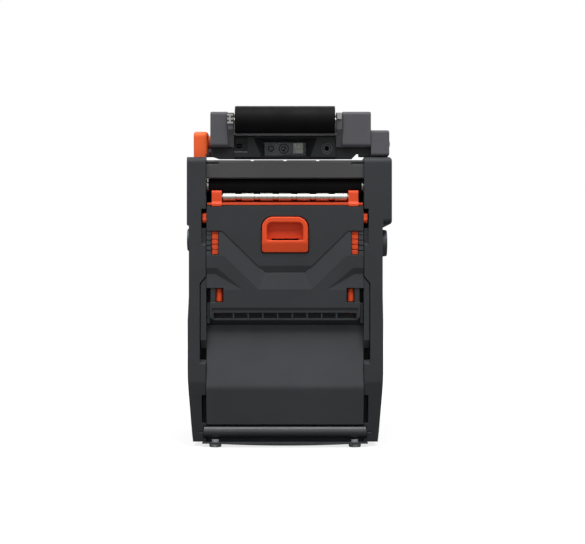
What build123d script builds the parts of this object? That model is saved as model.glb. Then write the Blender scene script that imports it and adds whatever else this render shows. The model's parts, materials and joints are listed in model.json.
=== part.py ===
from build123d import *
import math
import os

# Portable label printer, standing upright on its base and seen from its door side.
# Frame: +X to the right in front of the door, +Y from the door to the grip, +Z up.
# Pieces are drawn from the middle of the label path and moved on saving, so that the
# origin lies on the floor under the middle of the overall box. Lengths in millimetres.

# Middle of the overall box
MIDDLE_X = 1.8
MIDDLE_Y = 25.2

# Main body
FRONT_Y = -60.0
BACK_Y = 50.0
CHASSIS_TOP = 112.5
FRAME_IN = 46.0
FRAME_OUT = 57.0
FRAME_TOP = 169.0
FRAME_BOTTOM = 2.8
CHIN_Z = 38.0
CHIN_BACK = 6.5
DECK_TOP = 167.2
BASE_BOTTOM = 2.2
FIT_GAP = 0.3
RUNNING_FIT = 0.05
WALL = 2.4

# Gear pod on the right frame
POD_OUT = 62.2
POD_BOTTOM = 129.6
POD_BACK_Y = 14.0
POD_RIM = 3.0
GEAR_ROOM_FRONT_Y = -57.2
GEAR_ROOM_LOW, GEAR_ROOM_HIGH = 134.2, 163.2

# Label path
PLATEN_Y, PLATEN_Z, PLATEN_R = -48.5, 152.8, 5.5
PLATEN_HALF = 44.8
NIP_Y, NIP_Z, NIP_R = -53.3, 146.0, 2.5
PLATEN_SHAFT_R = 2.0
PRINTHEAD_TOP = 163.8
SPRING_FRONT_Y, SPRING_BACK_Y = -43.4, -34.5
NIP_SHAFT_R = 1.2
CARRIAGE_PIVOT_R = 1.5
CARRIAGE_PIVOT_Y = -52.0
CARRIAGE_PIVOT_Z = 80.5
BUSH_R, BUSH_END = 5.0, 49.2

# Gear train
MODULE = 0.8
PLATEN_TEETH = 18
IDLER_TEETH = 24
PINION_TEETH = 18
PRESSURE_ANGLE = math.radians(20)
TOOTH_TIP, TOOTH_ROOT, BACKLASH = 0.92, 1.25, 0.12
GEAR_X0, GEAR_X1 = 50.8, 54.8
IDLER_AXLE_R = 1.95
MOTOR_SHAFT_R = 1.5
IDLER_BELOW_DEG = -25.0
PINION_ABOVE_DEG = 10.0

# Front door
ROD_Y, ROD_Z, ROD_R = -52.5, 8.9, 3.75
ROD_HALF = 47.5
ROD_PIN_R = 2.0
DOOR_HALF = 45.6
SHOULDER_HALF = 49.0
CARRIER_FRONT_Y, CARRIER_BACK_Y = -50.0, -46.8
DOOR_TOP = 140.6
PANEL_BOTTOM = 74.0
PANEL_FOOT_HALF, PANEL_FOOT_ROUND, PANEL_TOP_ROUND = 43.5, 3.0, 0.8
CHEVRON_Z, CHEVRON_TOP, CHEVRON_BAND = 101.5, 125.9, 9.6
UPPER_FACE_Y = -58.2
PROUD_FACE_Y = -60.2
COVER_TOP = 71.2
KINK_Z = 35.0

# Latch
LATCH_Y, LATCH_Z, LATCH_SHAFT_R = -56.6, 132.6, 1.1
HANDLE_HALF, HANDLE_TOP, HANDLE_BOTTOM = 13.4, 134.0, 113.5
WINDOW_IN, WINDOW_OUT, WINDOW_LOW, WINDOW_HIGH = 38.6, 42.9, 112.0, 125.8
SILL_WINDOW_IN, SILL_WINDOW_LOW, SILL_WINDOW_HIGH = 35.7, 84.4, 92.7

# Applicator head
HEAD_Y, HEAD_Z, KNUCKLE_R = 6.0, 180.0, 6.0
EAR_BOTTOM, EAR_TOP = 174.6, 195.2
EAR_IN, LEFT_EAR_OUT, RIGHT_EAR_OUT = 33.0, 43.4, 49.9
APPLICATOR_Y, APPLICATOR_Z, APPLICATOR_R = -58.0, 190.3, 8.2
APPLICATOR_HALF = 29.0
NOSE_BOTTOM, NOSE_FRONT_Y, NOSE_BACK_Y = 168.1, -57.0, -49.6
SCAN_LEFT, SCAN_RIGHT, SCAN_LOW, SCAN_HIGH = -12.4, 12.5, 170.0, 178.2
PORT_LEFT, PORT_RIGHT, PORT_LOW, PORT_HIGH = -29.0, -24.6, 173.4, 177.5
JACK_X, JACK_Z, JACK_R = 24.4, 173.9, 2.4
APPLICATOR_SHAFT_R = 1.5
LEVER_Y, LEVER_Z, LEVER_HUB_R, LEVER_PIN_R = -46.0, 178.4, 3.75, 2.0
HINGE_PIN_R = 1.95

# Feet
FOOT_X, FRONT_FOOT_Y = 40.7, -54.6
REAR_FOOT_X, REAR_FOOT_Y = 24.0, 104.0
FOOT_R, FOOT_STEM_R, FOOT_STEM_TOP, FOOT_SOCKET_TOP = 3.55, 2.0, 4.2, 4.4

# Media bay
BAY_Y, BAY_Z, BAY_R = -1.0, 58.0, 42.5
HUB_R, HUB_STUB_R = 12.4, 3.0
RACK_TEETH = 16
RACK_LOW, RACK_HIGH, RACK_AXLE_R = 7.4, 10.0, 1.5

# Grip, console and battery
GRIP_END_Y = 116.0
CONSOLE_TOP_Z = 151.0
CONSOLE_END_TOP_Z = 127.0
GRIP_Y = 97.0
ARM_TOP = 30.0
BATTERY_HALF, BATTERY_START_Y, BATTERY_LOW, BATTERY_HIGH = 25.0, 58.4, 7.3, 24.0
TRIGGER_Y, TRIGGER_Z, TRIGGER_PIN_R = 81.0, 107.0, 2.0
DISPLAY_Y, DISPLAY_HALF_X, DISPLAY_HALF_S, DISPLAY_SEAT = 67.0, 30.0, 15.5, 1.4
SCREEN_HALF_X, SCREEN_HALF_S = 24.5, 11.5
KEY_Y, KEY_STEM_X, KEY_STEM_S = 98.0, 3.0, 2.2
KEYS = {"menu_key": -11.5, "feed_key": 0.0, "power_key": 11.5}

os.makedirs("parts", exist_ok=True)


def box(x0, x1, y0, y1, z0, z1):
    """A block between two corners."""
    middle = ((x0 + x1) / 2, (y0 + y1) / 2, (z0 + z1) / 2)
    return Pos(*middle) * Box(abs(x1 - x0), abs(y1 - y0), abs(z1 - z0))


def rod_x(radius, x0, x1, y, z):
    """A round bar along X."""
    return Pos((x0 + x1) / 2, y, z) * Rot(0, 90, 0) * Cylinder(radius, abs(x1 - x0))


def rod_y(radius, y0, y1, x, z):
    """A round bar along Y."""
    return Pos(x, (y0 + y1) / 2, z) * Rot(90, 0, 0) * Cylinder(radius, abs(y1 - y0))


def rod_z(radius, z0, z1, x, y):
    """A round bar along Z."""
    return Pos(x, y, (z0 + z1) / 2) * Cylinder(radius, abs(z1 - z0))


def side_prism(points, x0, x1):
    """A prism along X over an outline of (y, z) points."""
    outline = make_face(Polyline(*points, close=True))
    return extrude(Plane.YZ.offset(min(x0, x1)) * outline, amount=abs(x1 - x0))


def front_prism(points, y0, y1):
    """A prism along Y over an outline of (x, z) points."""
    outline = make_face(Polyline(*points, close=True))
    return extrude(Plane.XZ.offset(-max(y0, y1)) * outline, amount=abs(y1 - y0))


def mirrored(points):
    """The outline of a right half, closed over the middle plane."""
    return list(points) + [(-x, z) for x, z in reversed(points)]


def both_sides(solid):
    """The solid and its mirror image across the middle plane."""
    return [solid, mirror(solid, about=Plane.YZ)]


def rounded(solid, axis, radius, pick=lambda edge: True):
    """Fillets the picked straight edges that run along an axis."""
    edges = [edge for edge in solid.edges().filter_by(axis) if pick(edge)]
    return fillet(edges, radius)


def at(edge, **wanted):
    """True where an edge's middle lies at the wanted coordinates."""
    centre = edge.center()
    near = 0.2
    return all(abs(getattr(centre, name) - value) < near for name, value in wanted.items())


def save(name, shape):
    """Writes one node, a single solid or a group of separate solids."""
    solids = shape if isinstance(shape, list) else [shape]
    flat = [solid for item in solids for solid in item.solids()]
    flat = [Pos(-MIDDLE_X, -MIDDLE_Y, 0) * solid for solid in flat]
    part = flat[0] if len(flat) == 1 else Compound(children=flat)
    part.label = name
    export_step(part, os.path.join("parts", name + ".step"))


def gear(teeth, phase_deg, bore, x0=GEAR_X0, x1=GEAR_X1):
    """An involute spur gear in the YZ plane, centred on X, with a tooth at the phase angle."""
    pitch_r = MODULE * teeth / 2
    base_r = pitch_r * math.cos(PRESSURE_ANGLE)
    tip_r = pitch_r + TOOTH_TIP * MODULE
    root_r = pitch_r - TOOTH_ROOT * MODULE
    half_pitch_angle = (math.pi * MODULE / 2 - BACKLASH) / (2 * pitch_r)
    flank_steps = 3

    def half_angle(radius):
        if radius <= base_r:
            return half_angle(base_r + 1e-6)
        inv_pitch = math.tan(PRESSURE_ANGLE) - PRESSURE_ANGLE
        angle = math.acos(base_r / radius)
        return half_pitch_angle + inv_pitch - (math.tan(angle) - angle)

    low_r = max(root_r, base_r)
    radii = [low_r + (tip_r - low_r) * step / flank_steps for step in range(flank_steps + 1)]
    points = []
    for tooth in range(teeth):
        centre = math.radians(phase_deg) + 2 * math.pi * tooth / teeth
        rising = [(root_r, centre - half_angle(low_r))] if root_r < base_r else []
        rising += [(radius, centre - half_angle(radius)) for radius in radii]
        falling = [(radius, 2 * centre - angle) for radius, angle in reversed(rising)]
        points += [(r * math.cos(a), r * math.sin(a)) for r, a in rising + falling]
    return side_prism(points, x0, x1) - rod_x(bore, x0 - 1, x1 + 1, 0, 0)


def gear_centres():
    """Places of the platen gear, the idler and the motor pinion, and their tooth phases."""
    clearance = 0.1
    first = MODULE * (PLATEN_TEETH + IDLER_TEETH) / 2 + clearance
    second = MODULE * (IDLER_TEETH + PINION_TEETH) / 2 + clearance
    down, up = math.radians(IDLER_BELOW_DEG), math.radians(PINION_ABOVE_DEG)
    idler = (PLATEN_Y + first * math.cos(down), PLATEN_Z + first * math.sin(down))
    pinion = (idler[0] + second * math.cos(up), idler[1] + second * math.sin(up))
    idler_phase = IDLER_BELOW_DEG + 180 + 180 / IDLER_TEETH
    pitch = 360 / IDLER_TEETH
    ahead = (PINION_ABOVE_DEG - idler_phase) % pitch
    pinion_phase = PINION_ABOVE_DEG + 180 + 180 / PINION_TEETH + ahead * IDLER_TEETH / PINION_TEETH
    return idler, pinion, idler_phase, pinion_phase


def chin_y(z):
    """Front of the frames below the chin, where they lean back."""
    return FRONT_Y + CHIN_BACK * (CHIN_Z - z) / (CHIN_Z - FRAME_BOTTOM)


def side_frame(side):
    """One moulded side frame: side is -1 for the left one and 1 for the right one."""
    back_corner_z = CONSOLE_TOP_Z + 1
    slope_start_y = 22.0
    top_round = 3.5
    outline = [
        (FRONT_Y, FRAME_TOP),
        (FRONT_Y, CHIN_Z),
        (chin_y(FRAME_BOTTOM), FRAME_BOTTOM),
        (BACK_Y, FRAME_BOTTOM),
        (BACK_Y, back_corner_z),
        (slope_start_y, FRAME_TOP),
    ]
    frame = side_prism(outline, FRAME_IN, FRAME_OUT)
    frame = rounded(frame, Axis.X, top_round, lambda e: at(e, Y=FRONT_Y, Z=FRAME_TOP))
    frame = rounded(frame, Axis.X, 8.0, lambda e: at(e, Y=FRONT_Y, Z=CHIN_Z))
    frame = rounded(frame, Axis.X, 6.0, lambda e: at(e, Y=BACK_Y))
    if side > 0:
        pod = box(FRAME_OUT - 1, POD_OUT, FRONT_Y, POD_BACK_Y, POD_BOTTOM, FRAME_TOP)
        pod = rounded(pod, Axis.X, top_round)
        pod = rounded(pod, Axis.Y, 2.0, lambda e: e.center().X > FRAME_OUT)
        frame += pod
    frame = (frame & flank(side)) - frame_openings()
    frame -= lever_pocket() if side < 0 else gear_pocket()
    frame += hinge_post()
    return mirror(frame, about=Plane.YZ) if side < 0 else frame


def flank(side):
    """A prism that gives a frame its outer line: waisted in the middle and drawn in at the foot."""
    top, waist, hip, foot = (57.3, 55.8, 56.5, 53.8) if side < 0 else (POD_OUT, 56.7, 57.0, 54.2)
    pod_foot, waist_high, waist_low, hip_high, hip_low = POD_BOTTOM - 0.1, POD_BOTTOM - 1.0, 88.0, 74.0, 46.0
    inner = FRAME_IN - 1
    line = Polyline((inner, FRAME_BOTTOM), (inner, FRAME_TOP), (top, FRAME_TOP), (top, pod_foot), (waist, waist_high), (waist, waist_low), (hip, hip_high), (hip, hip_low))
    drawn_in = ((hip + foot) / 2, 20.0)
    draw = Spline((hip, hip_low), drawn_in, (foot, FRAME_BOTTOM), tangents=[(0, -1), (-0.12, -1)])
    outline = make_face([line, draw, Line((foot, FRAME_BOTTOM), (inner, FRAME_BOTTOM))])
    return extrude(Plane.XZ.offset(-BACK_Y) * outline, amount=BACK_Y - FRONT_Y)


def frame_openings():
    """What is cut from the inner face of a right frame: slots, shoulders and bearing seats."""
    slot_low, slot_high, slot_out, shallow_top = 117.8, 138.7, 48.6, 127.5
    hook_slot = box(FRAME_IN - 1, slot_out, FRONT_Y - 1, -44.0, shallow_top, slot_high)
    shallow = side_prism([(FRONT_Y - 1, slot_low - 0.7), (FRONT_Y + 2.5, slot_low + 1.0),
                          (FRONT_Y + 2.5, shallow_top + 0.1), (FRONT_Y - 1, shallow_top + 0.1)],
                         FRAME_IN - 1, slot_out)
    shoulder_depth_y, sill_low, sill_high, sill_back = -46.0, 48.7, 50.8, FRONT_Y + 3.5
    shoulder = [
        (FRAME_IN - 1, 99.6),
        (FRAME_IN, 99.6),
        (SHOULDER_HALF + 0.5, 95.4),
        (SHOULDER_HALF + 0.5, sill_low),
        (FRAME_IN - 1, sill_low),
    ]
    sill = side_prism([(FRONT_Y, sill_low), (sill_back, sill_high), (shoulder_depth_y, sill_high),
                       (shoulder_depth_y, sill_low - 1), (FRONT_Y, sill_low - 1)], FRAME_IN - 2, FRAME_OUT)
    arm_slot = box(FRAME_IN - 1, 48.5, FRONT_Y - 1, -48.0, 13.9, 30.5)
    rod_seat = rod_x(ROD_R + 0.4, FRAME_IN - 1, ROD_HALF + FIT_GAP, ROD_Y, ROD_Z)
    rod_bore = rod_x(ROD_PIN_R + RUNNING_FIT, FRAME_IN, 50.5, ROD_Y, ROD_Z)
    bush_seat = rod_x(BUSH_R, FRAME_IN - 1, BUSH_END, PLATEN_Y, PLATEN_Z)
    shaft_way = rod_x(3.0, FRAME_IN, 51.0, PLATEN_Y, PLATEN_Z)
    pin_free = rod_x(3.2, FRAME_IN - 1, 47.0, NIP_Y, NIP_Z)
    shoulder_room = front_prism(shoulder, FRONT_Y - 1, shoulder_depth_y) - sill
    cuts = [hook_slot, shallow, shoulder_room, arm_slot]
    return cuts + [rod_seat, rod_bore, bush_seat, shaft_way, pin_free]


def gear_pocket():
    """The room for the gear train, open to the outside under the gear cover."""
    floor_x = GEAR_X0 - 0.9
    room_back, plate_thick, plate_back = 0.0, 2.0, POD_BACK_Y - 4
    room = box(floor_x, POD_OUT + 1, GEAR_ROOM_FRONT_Y, room_back, GEAR_ROOM_LOW, GEAR_ROOM_HIGH)
    seat = box(POD_OUT - plate_thick, POD_OUT + 1, GEAR_ROOM_FRONT_Y, plate_back, POD_BOTTOM + POD_RIM,
               FRAME_TOP - POD_RIM)
    _, pinion, _, _ = gear_centres()
    motor_way = rod_x(4.2, FRAME_IN - 1, floor_x + 1, *pinion)
    return [room, seat, motor_way]


def gear_cover():
    """The plate that closes the gear pocket in the pod, with the idler's stub axle."""
    gap = 0.15
    y0, y1 = GEAR_ROOM_FRONT_Y + gap, POD_BACK_Y - 4 - gap
    z0, z1 = POD_BOTTOM + POD_RIM + gap, FRAME_TOP - POD_RIM - gap
    plate = box(POD_OUT - 2.0, POD_OUT - 0.1, y0, y1, z0, z1)
    plate = rounded(plate, Axis.X, 2.0)
    idler, _, _, _ = gear_centres()
    return plate + rod_x(IDLER_AXLE_R, GEAR_X0 - 0.8, POD_OUT - 1.5, *idler)


def lever_pocket():
    """The room behind the front of the left frame for the head lever, drawn on the right."""
    outer_x, front_y, back_y, low = 54.3, -56.4, -20.0, 156.0
    return [box(FRAME_IN - 1, outer_x, front_y, back_y, low, FRAME_TOP + 1)]


def hinge_post():
    """The post that carries the head's hinge pin, on top of a right frame."""
    post_in, post_out = 50.4, 55.6
    foot = side_prism([(HEAD_Y - 11, FRAME_TOP - 1), (HEAD_Y - KNUCKLE_R, HEAD_Z),
                       (HEAD_Y + KNUCKLE_R, HEAD_Z), (HEAD_Y + 13, FRAME_TOP - 1)], post_in, post_out)
    post = foot + rod_x(KNUCKLE_R, post_in, post_out, HEAD_Y, HEAD_Z)
    return post - rod_x(HINGE_PIN_R, post_in - 1, post_out - 1, HEAD_Y, HEAD_Z)


def head_hinge_pins():
    """The two steel pins that the applicator head swings on."""
    pin_start, pin_end = 46.5, 54.5
    return both_sides(rod_x(HINGE_PIN_R, pin_start, pin_end, HEAD_Y, HEAD_Z))


def base_plate():
    """The floor of the body with its bowed front lip and the sockets of the front feet."""
    half, front = 48.2, -59.4
    bow_depth, bow_half = 1.0, 40.0
    low_lip = BASE_BOTTOM - bow_depth
    floor_half, floor_front, floor_top = FRAME_IN - FIT_GAP / 3, -50.0, 5.2
    plate = box(-floor_half, floor_half, floor_front, BACK_Y - 3, FRAME_BOTTOM, floor_top)
    skirt = front_outline_lip(half, front, BASE_BOTTOM, FRAME_BOTTOM)
    bow = ThreePointArc((-bow_half, BASE_BOTTOM), (0, low_lip), (bow_half, BASE_BOTTOM))
    chord = Line((bow_half, BASE_BOTTOM), (-bow_half, BASE_BOTTOM))
    belly = extrude(Plane.XZ.offset(-(front + 6)) * make_face([bow, chord]), amount=6)
    plate = plate + skirt + belly + rod_z(RACK_AXLE_R, FRAME_BOTTOM, RACK_HIGH + 0.6, 0, BAY_Y)
    for x, y in front_feet():
        plate -= rod_z(FOOT_STEM_R, BASE_BOTTOM - 1, FOOT_SOCKET_TOP, x, y)
        plate -= rod_z(FOOT_R + 0.2, low_lip - 1, BASE_BOTTOM, x, y)
    return plate


def front_outline_lip(half, front, z0, z1):
    """The thin plate under the frames, its front edge drawn forward in an arc."""
    side_y = front + 0.8
    edge = ThreePointArc((-half, side_y), (0, front), (half, side_y))
    sides = Polyline((half, side_y), (half, BACK_Y - 1), (-half, BACK_Y - 1), (-half, side_y))
    return extrude(Plane.XY.offset(z0) * make_face([edge, sides]), amount=z1 - z0)


def front_feet():
    """Places of the two front feet."""
    return [(-FOOT_X, FRONT_FOOT_Y), (FOOT_X, FRONT_FOOT_Y)]


def rear_feet():
    """Places of the two feet under the battery arm."""
    return [(-REAR_FOOT_X, REAR_FOOT_Y), (REAR_FOOT_X, REAR_FOOT_Y)]


def rubber_feet():
    """Four round feet, each with a stem pressed into its socket."""
    feet = []
    for x, y in front_feet() + rear_feet():
        disc = rod_z(FOOT_R, 0, BASE_BOTTOM, x, y)
        disc = chamfer(disc.faces().sort_by(Axis.Z)[0].edges(), 0.4)
        feet.append(disc + rod_z(FOOT_STEM_R, BASE_BOTTOM - 0.1, FOOT_STEM_TOP, x, y))
    return feet


def media_bay():
    """The moulded cradle round the label roll, open towards the door."""
    half, wall = FRAME_IN - 0.2, 2.6
    cut_half, reach = half + 1, 60
    mouth_y, underside = BAY_Y - 20, 12.5
    ring = rod_x(BAY_R + wall, -half, half, BAY_Y, BAY_Z)
    floor = box(-half, half, BAY_Y - 38, BAY_Y + 40, underside - 0.5, BAY_Z)
    shell = (ring + floor) - rod_x(BAY_R, -cut_half, cut_half, BAY_Y, BAY_Z)
    shell -= box(-cut_half, cut_half, BAY_Y - reach, mouth_y, 0, 140)
    shell -= box(-cut_half, cut_half, BAY_Y - reach, BAY_Y + reach, 0, underside)
    roof_front, roof_low = -44.0, BAY_Z + BAY_R + 1.2
    shell += box(-half, half, roof_front, BAY_Y, roof_low, BAY_Z + BAY_R + 2 * wall)
    slot_half_x, slot_half_y, slot_high = 44.2, 9.6, 20.0
    return shell - box(-slot_half_x, slot_half_x, BAY_Y - slot_half_y, BAY_Y + slot_half_y, 5.0, slot_high)


def hub_carrier(side):
    """A sliding arm that carries one roll hub. Drawn on the right, side picks the left one."""
    arm_in, arm_out = 40.4, 43.6
    foot_half, head_r, stub_start = 9.0, 7.0, 36.4
    profile = [(BAY_Y - foot_half, RACK_LOW), (BAY_Y - head_r, BAY_Z), (BAY_Y + head_r, BAY_Z),
               (BAY_Y + foot_half, RACK_LOW)]
    arm = side_prism(profile, arm_in, arm_out) + rod_x(head_r, arm_in, arm_out, BAY_Y, BAY_Z)
    arm += rack(arm_in + 0.5)
    arm += rod_x(HUB_STUB_R, stub_start, arm_in + 0.1, BAY_Y, BAY_Z)
    return arm if side > 0 else Rot(0, 0, 180) * Pos(0, -2 * BAY_Y, 0) * arm


def rack(end_x):
    """The toothed bar at the foot of a carrier, in mesh with the carrier pinion at its side."""
    pitch, pitch_y = math.pi * MODULE, BAY_Y + MODULE * RACK_TEETH / 2 + 0.05
    tip_y, root_y = pitch_y - TOOTH_TIP * MODULE, pitch_y + TOOTH_ROOT * MODULE
    first, last, thick = -2, 5, 1.6
    lean = math.tan(PRESSURE_ANGLE)
    half_pitch_width = (pitch - 2 * BACKLASH) / 4
    half_tip, half_root = [half_pitch_width + (y - pitch_y) * lean for y in (tip_y, root_y)]
    points = []
    for index in range(first, last + 1):
        x = pitch * (index + 0.5)
        points += [(x - half_root, root_y), (x - half_tip, tip_y)]
        points += [(x + half_tip, tip_y), (x + half_root, root_y)]
    points += [(end_x, root_y), (end_x, root_y + thick), (points[0][0], root_y + thick)]
    bar = make_face(Polyline(*points, close=True))
    return extrude(Plane.XY.offset(RACK_LOW) * bar, amount=RACK_HIGH - RACK_LOW)


def carrier_pinion():
    """The pinion between both racks, which makes the carriers move evenly."""
    wheel = gear(RACK_TEETH, 90.0, RACK_AXLE_R + RUNNING_FIT, -(RACK_HIGH - 0.1), -(RACK_LOW + 0.1))
    return Pos(0, BAY_Y, 0) * Rot(0, 90, 0) * wheel


def roll_hub(side):
    """A cup that enters the core of the roll and spins on its carrier's stub."""
    cup_end, flange_start, flange_end = 32.6, 38.0, 40.1
    cup = rod_x(HUB_R, cup_end, flange_start, BAY_Y, BAY_Z)
    cup += rod_x(HUB_R + 4.0, flange_start, flange_end, BAY_Y, BAY_Z)
    cup = chamfer(cup.faces().sort_by(Axis.X)[0].edges(), 1.5)
    hub = cup - rod_x(HUB_STUB_R + RUNNING_FIT, 36.2, 45.0, BAY_Y, BAY_Z)
    slots, slot_half, slot_in, slot_out = 6, 1.5, 5.0, 9.5
    for index in range(slots):
        slot = box(cup_end - 0.6, 35.0, -slot_half, slot_half, slot_in, slot_out)
        hub -= Pos(0, BAY_Y, BAY_Z) * Rot(360 * index / slots, 0, 0) * slot
    return hub if side > 0 else mirror(hub, about=Plane.YZ)


def top_cover():
    """The deck between the frames, from the peel panel to the console."""
    half, front, back = FRAME_IN - 0.1, -42.0, BACK_Y - 0.1
    outline = [(front, DECK_TOP), (front, DECK_TOP - WALL), (20.5, DECK_TOP - WALL),
               (back, CONSOLE_TOP_Z - WALL - 1.2), (back, CONSOLE_TOP_Z - 0.5), (22.0, DECK_TOP)]
    return side_prism(outline, -half, half)


def rear_housing():
    """The back wall of the body between the frames, behind the media bay."""
    half, wall = FRAME_IN - 0.1, 3.0
    panel = box(-half, half, BACK_Y - wall, BACK_Y, FRAME_BOTTOM, CONSOLE_TOP_Z - WALL - 2.2)
    rib_depth, rib_low, rib_high = 2, 108.0, 140.0
    inside = BACK_Y - wall
    ribs = [box(x - 1, x + 1, inside - rib_depth, inside, rib_low, rib_high) for x in (-30, 0, 30)]
    return panel + ribs


def chassis_deck():
    """The plate over the media bay that carries the motor and the circuit board."""
    half, front, back, low, high = FRAME_IN - 0.1, -40.0, BACK_Y - 5.2, 110.0, CHASSIS_TOP
    deck = box(-half, half, front, back, low, high)
    rib_front, rib_back, rib_foot, rib_high = -31.0, 40.0, high - 0.1, 116.0
    stiffeners = [box(x - 1.2, x + 1.2, rib_front, rib_back, rib_foot, rib_high) for x in (-38, -14, 14, 38)]
    return deck + stiffeners


def main_board():
    """The circuit board on the deck, with its chips and sockets."""
    half, front, back, low, high = 36.0, 4.0, 42.0, 117.0, 118.6
    foot = high - 0.1
    processor = box(-20, -6, 12, 26, foot, 120.4)
    driver = box(4, 16, 14, 22, foot, 120.0)
    sockets = box(-30, 30, back - 5, back - 1, foot, 124.0)
    return box(-half, half, front, back, low, high) + processor + driver + sockets


def stepper_motor():
    """The motor behind the right frame, with its flange and boss."""
    _, pinion, _, _ = gear_centres()
    y, z = pinion
    half, back_x, front_x = 14.0, 22.0, FRAME_IN - 0.3
    body = box(back_x, front_x, y - half, y + half, z - half, z + half)
    body = rounded(body, Axis.X, 3.0)
    boss = rod_x(4.0, front_x - 0.1, front_x + 1.6, y, z)
    return body + boss - rod_x(MOTOR_SHAFT_R + RUNNING_FIT, front_x - 8, front_x + 4, y, z)


def motor_pinion():
    """The pinion with the motor's shaft."""
    _, pinion, _, phase = gear_centres()
    wheel = gear(PINION_TEETH, phase, MOTOR_SHAFT_R)
    shaft = rod_x(MOTOR_SHAFT_R, FRAME_IN - 8.0, GEAR_X1 + 1.5, 0, 0)
    return Pos(0, *pinion) * (wheel + shaft)


def idler_gear():
    """The gear between the motor pinion and the platen gear."""
    idler, _, phase, _ = gear_centres()
    return Pos(0, *idler) * gear(IDLER_TEETH, phase, IDLER_AXLE_R + RUNNING_FIT)


def platen_gear():
    """The gear on the end of the platen shaft."""
    return Pos(0, PLATEN_Y, PLATEN_Z) * gear(PLATEN_TEETH, IDLER_BELOW_DEG, PLATEN_SHAFT_R)


def platen_shaft():
    """The steel shaft through the platen roller, with a collar at each end of the rubber."""
    shaft = rod_x(PLATEN_SHAFT_R, -49.0, GEAR_X1 + 1.0, PLATEN_Y, PLATEN_Z)
    collar = rod_x(4.2, PLATEN_HALF, PLATEN_HALF + 0.8, PLATEN_Y, PLATEN_Z)
    return shaft + both_sides(collar)


def platen_roller():
    """The black rubber of the platen roller."""
    rubber = rod_x(PLATEN_R, -PLATEN_HALF, PLATEN_HALF, PLATEN_Y, PLATEN_Z)
    return rubber - rod_x(PLATEN_SHAFT_R, -PLATEN_HALF - 1, PLATEN_HALF + 1, PLATEN_Y, PLATEN_Z)


def platen_bushes():
    """The two plain bearings of the platen shaft, pressed into the frames."""
    bush = rod_x(BUSH_R, FRAME_IN, BUSH_END, PLATEN_Y, PLATEN_Z)
    bush -= rod_x(PLATEN_SHAFT_R + RUNNING_FIT, FRAME_IN - 1, 50.0, PLATEN_Y, PLATEN_Z)
    return both_sides(bush)


def peel_panel():
    """The grey panel over the printhead, with three notches in its top edge and two end slots."""
    half, low, high = FRAME_IN - 0.1, 158.6, DECK_TOP
    front, back = -57.4, -54.0
    lip_low = 156.4
    outline = [(front, high - 1.2), (front + 1.2, high), (-42.3, high), (-42.3, high - 2.2),
               (back, high - 2.2), (back, low), (front + 1.4, lip_low), (front, lip_low + 0.6)]
    panel = side_prism(outline, -half, half)
    notch_half, notch_depth, notch_pitch, notch_back = 0.9, 0.7, 19.1, -50.0
    for x in (-notch_pitch, 0.0, notch_pitch):
        panel -= box(x - notch_half, x + notch_half, front - 1, notch_back, high - notch_depth, high + 1)
    ledge_in, ledge_low, ledge_high, ledge_back = 38.6, 164.3, 166.1, front + 1.1
    ledge = side_prism([(front - 1, ledge_low), (front, ledge_low), (ledge_back, ledge_low + 0.8),
                        (ledge_back, ledge_high), (front - 1, ledge_high)], ledge_in, half + 1)
    return panel - both_sides(ledge)


def printhead():
    """The printhead: a cooled bar with the glazed strip that presses on the platen."""
    half, front, back, strip_high = 40.0, -52.5, -45.0, 1.0
    strip_z = PLATEN_Z + PLATEN_R + FIT_GAP
    bar = box(-half, half, front, back, strip_z + strip_high, PRINTHEAD_TOP)
    strip = box(-half, half, front + 2.0, back - 1.5, strip_z, strip_z + strip_high + 0.1)
    return bar + strip


def printhead_bracket():
    """The pressed steel bracket behind the printhead."""
    half, low, thick, shelf_back = 44.0, 157.8, 1.2, -36.0
    upright = box(-half, half, -44.9, SPRING_FRONT_Y, low, PRINTHEAD_TOP)
    shelf = box(-half, half, SPRING_FRONT_Y - 0.1, shelf_back, low, low + thick)
    return upright + shelf


def head_springs():
    """Two springs that press the printhead bracket, wound closed as short tubes."""
    x, z, outer_r, inner_r = 24.0, 161.4, 2.2, 1.5
    tube = rod_y(outer_r, SPRING_FRONT_Y, SPRING_BACK_Y, x, z)
    return both_sides(tube - rod_y(inner_r, SPRING_FRONT_Y - 0.6, SPRING_BACK_Y + 0.5, x, z))


def spring_wall():
    """The cross wall that the printhead springs bear on."""
    half, top, thick = FRAME_IN - 0.1, 163.5, 2.0
    motor_x, motor_z = 18.0, 126.0
    wall = box(-half, half, SPRING_BACK_Y, SPRING_BACK_Y + thick, CHASSIS_TOP, top)
    return wall - box(motor_x, half + 1, SPRING_BACK_Y - 1.5, SPRING_BACK_Y + thick + 2.5, motor_z, top + 0.5)


def hinge_rod():
    """The front door's hinge bar with a pin at each end."""
    bar = rod_x(ROD_R, -ROD_HALF, ROD_HALF, ROD_Y, ROD_Z)
    bar = chamfer(bar.edges().filter_by(GeomType.CIRCLE), 0.3)
    pin_end = 50.2
    return bar + rod_x(ROD_PIN_R, -pin_end, pin_end, ROD_Y, ROD_Z)


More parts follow.
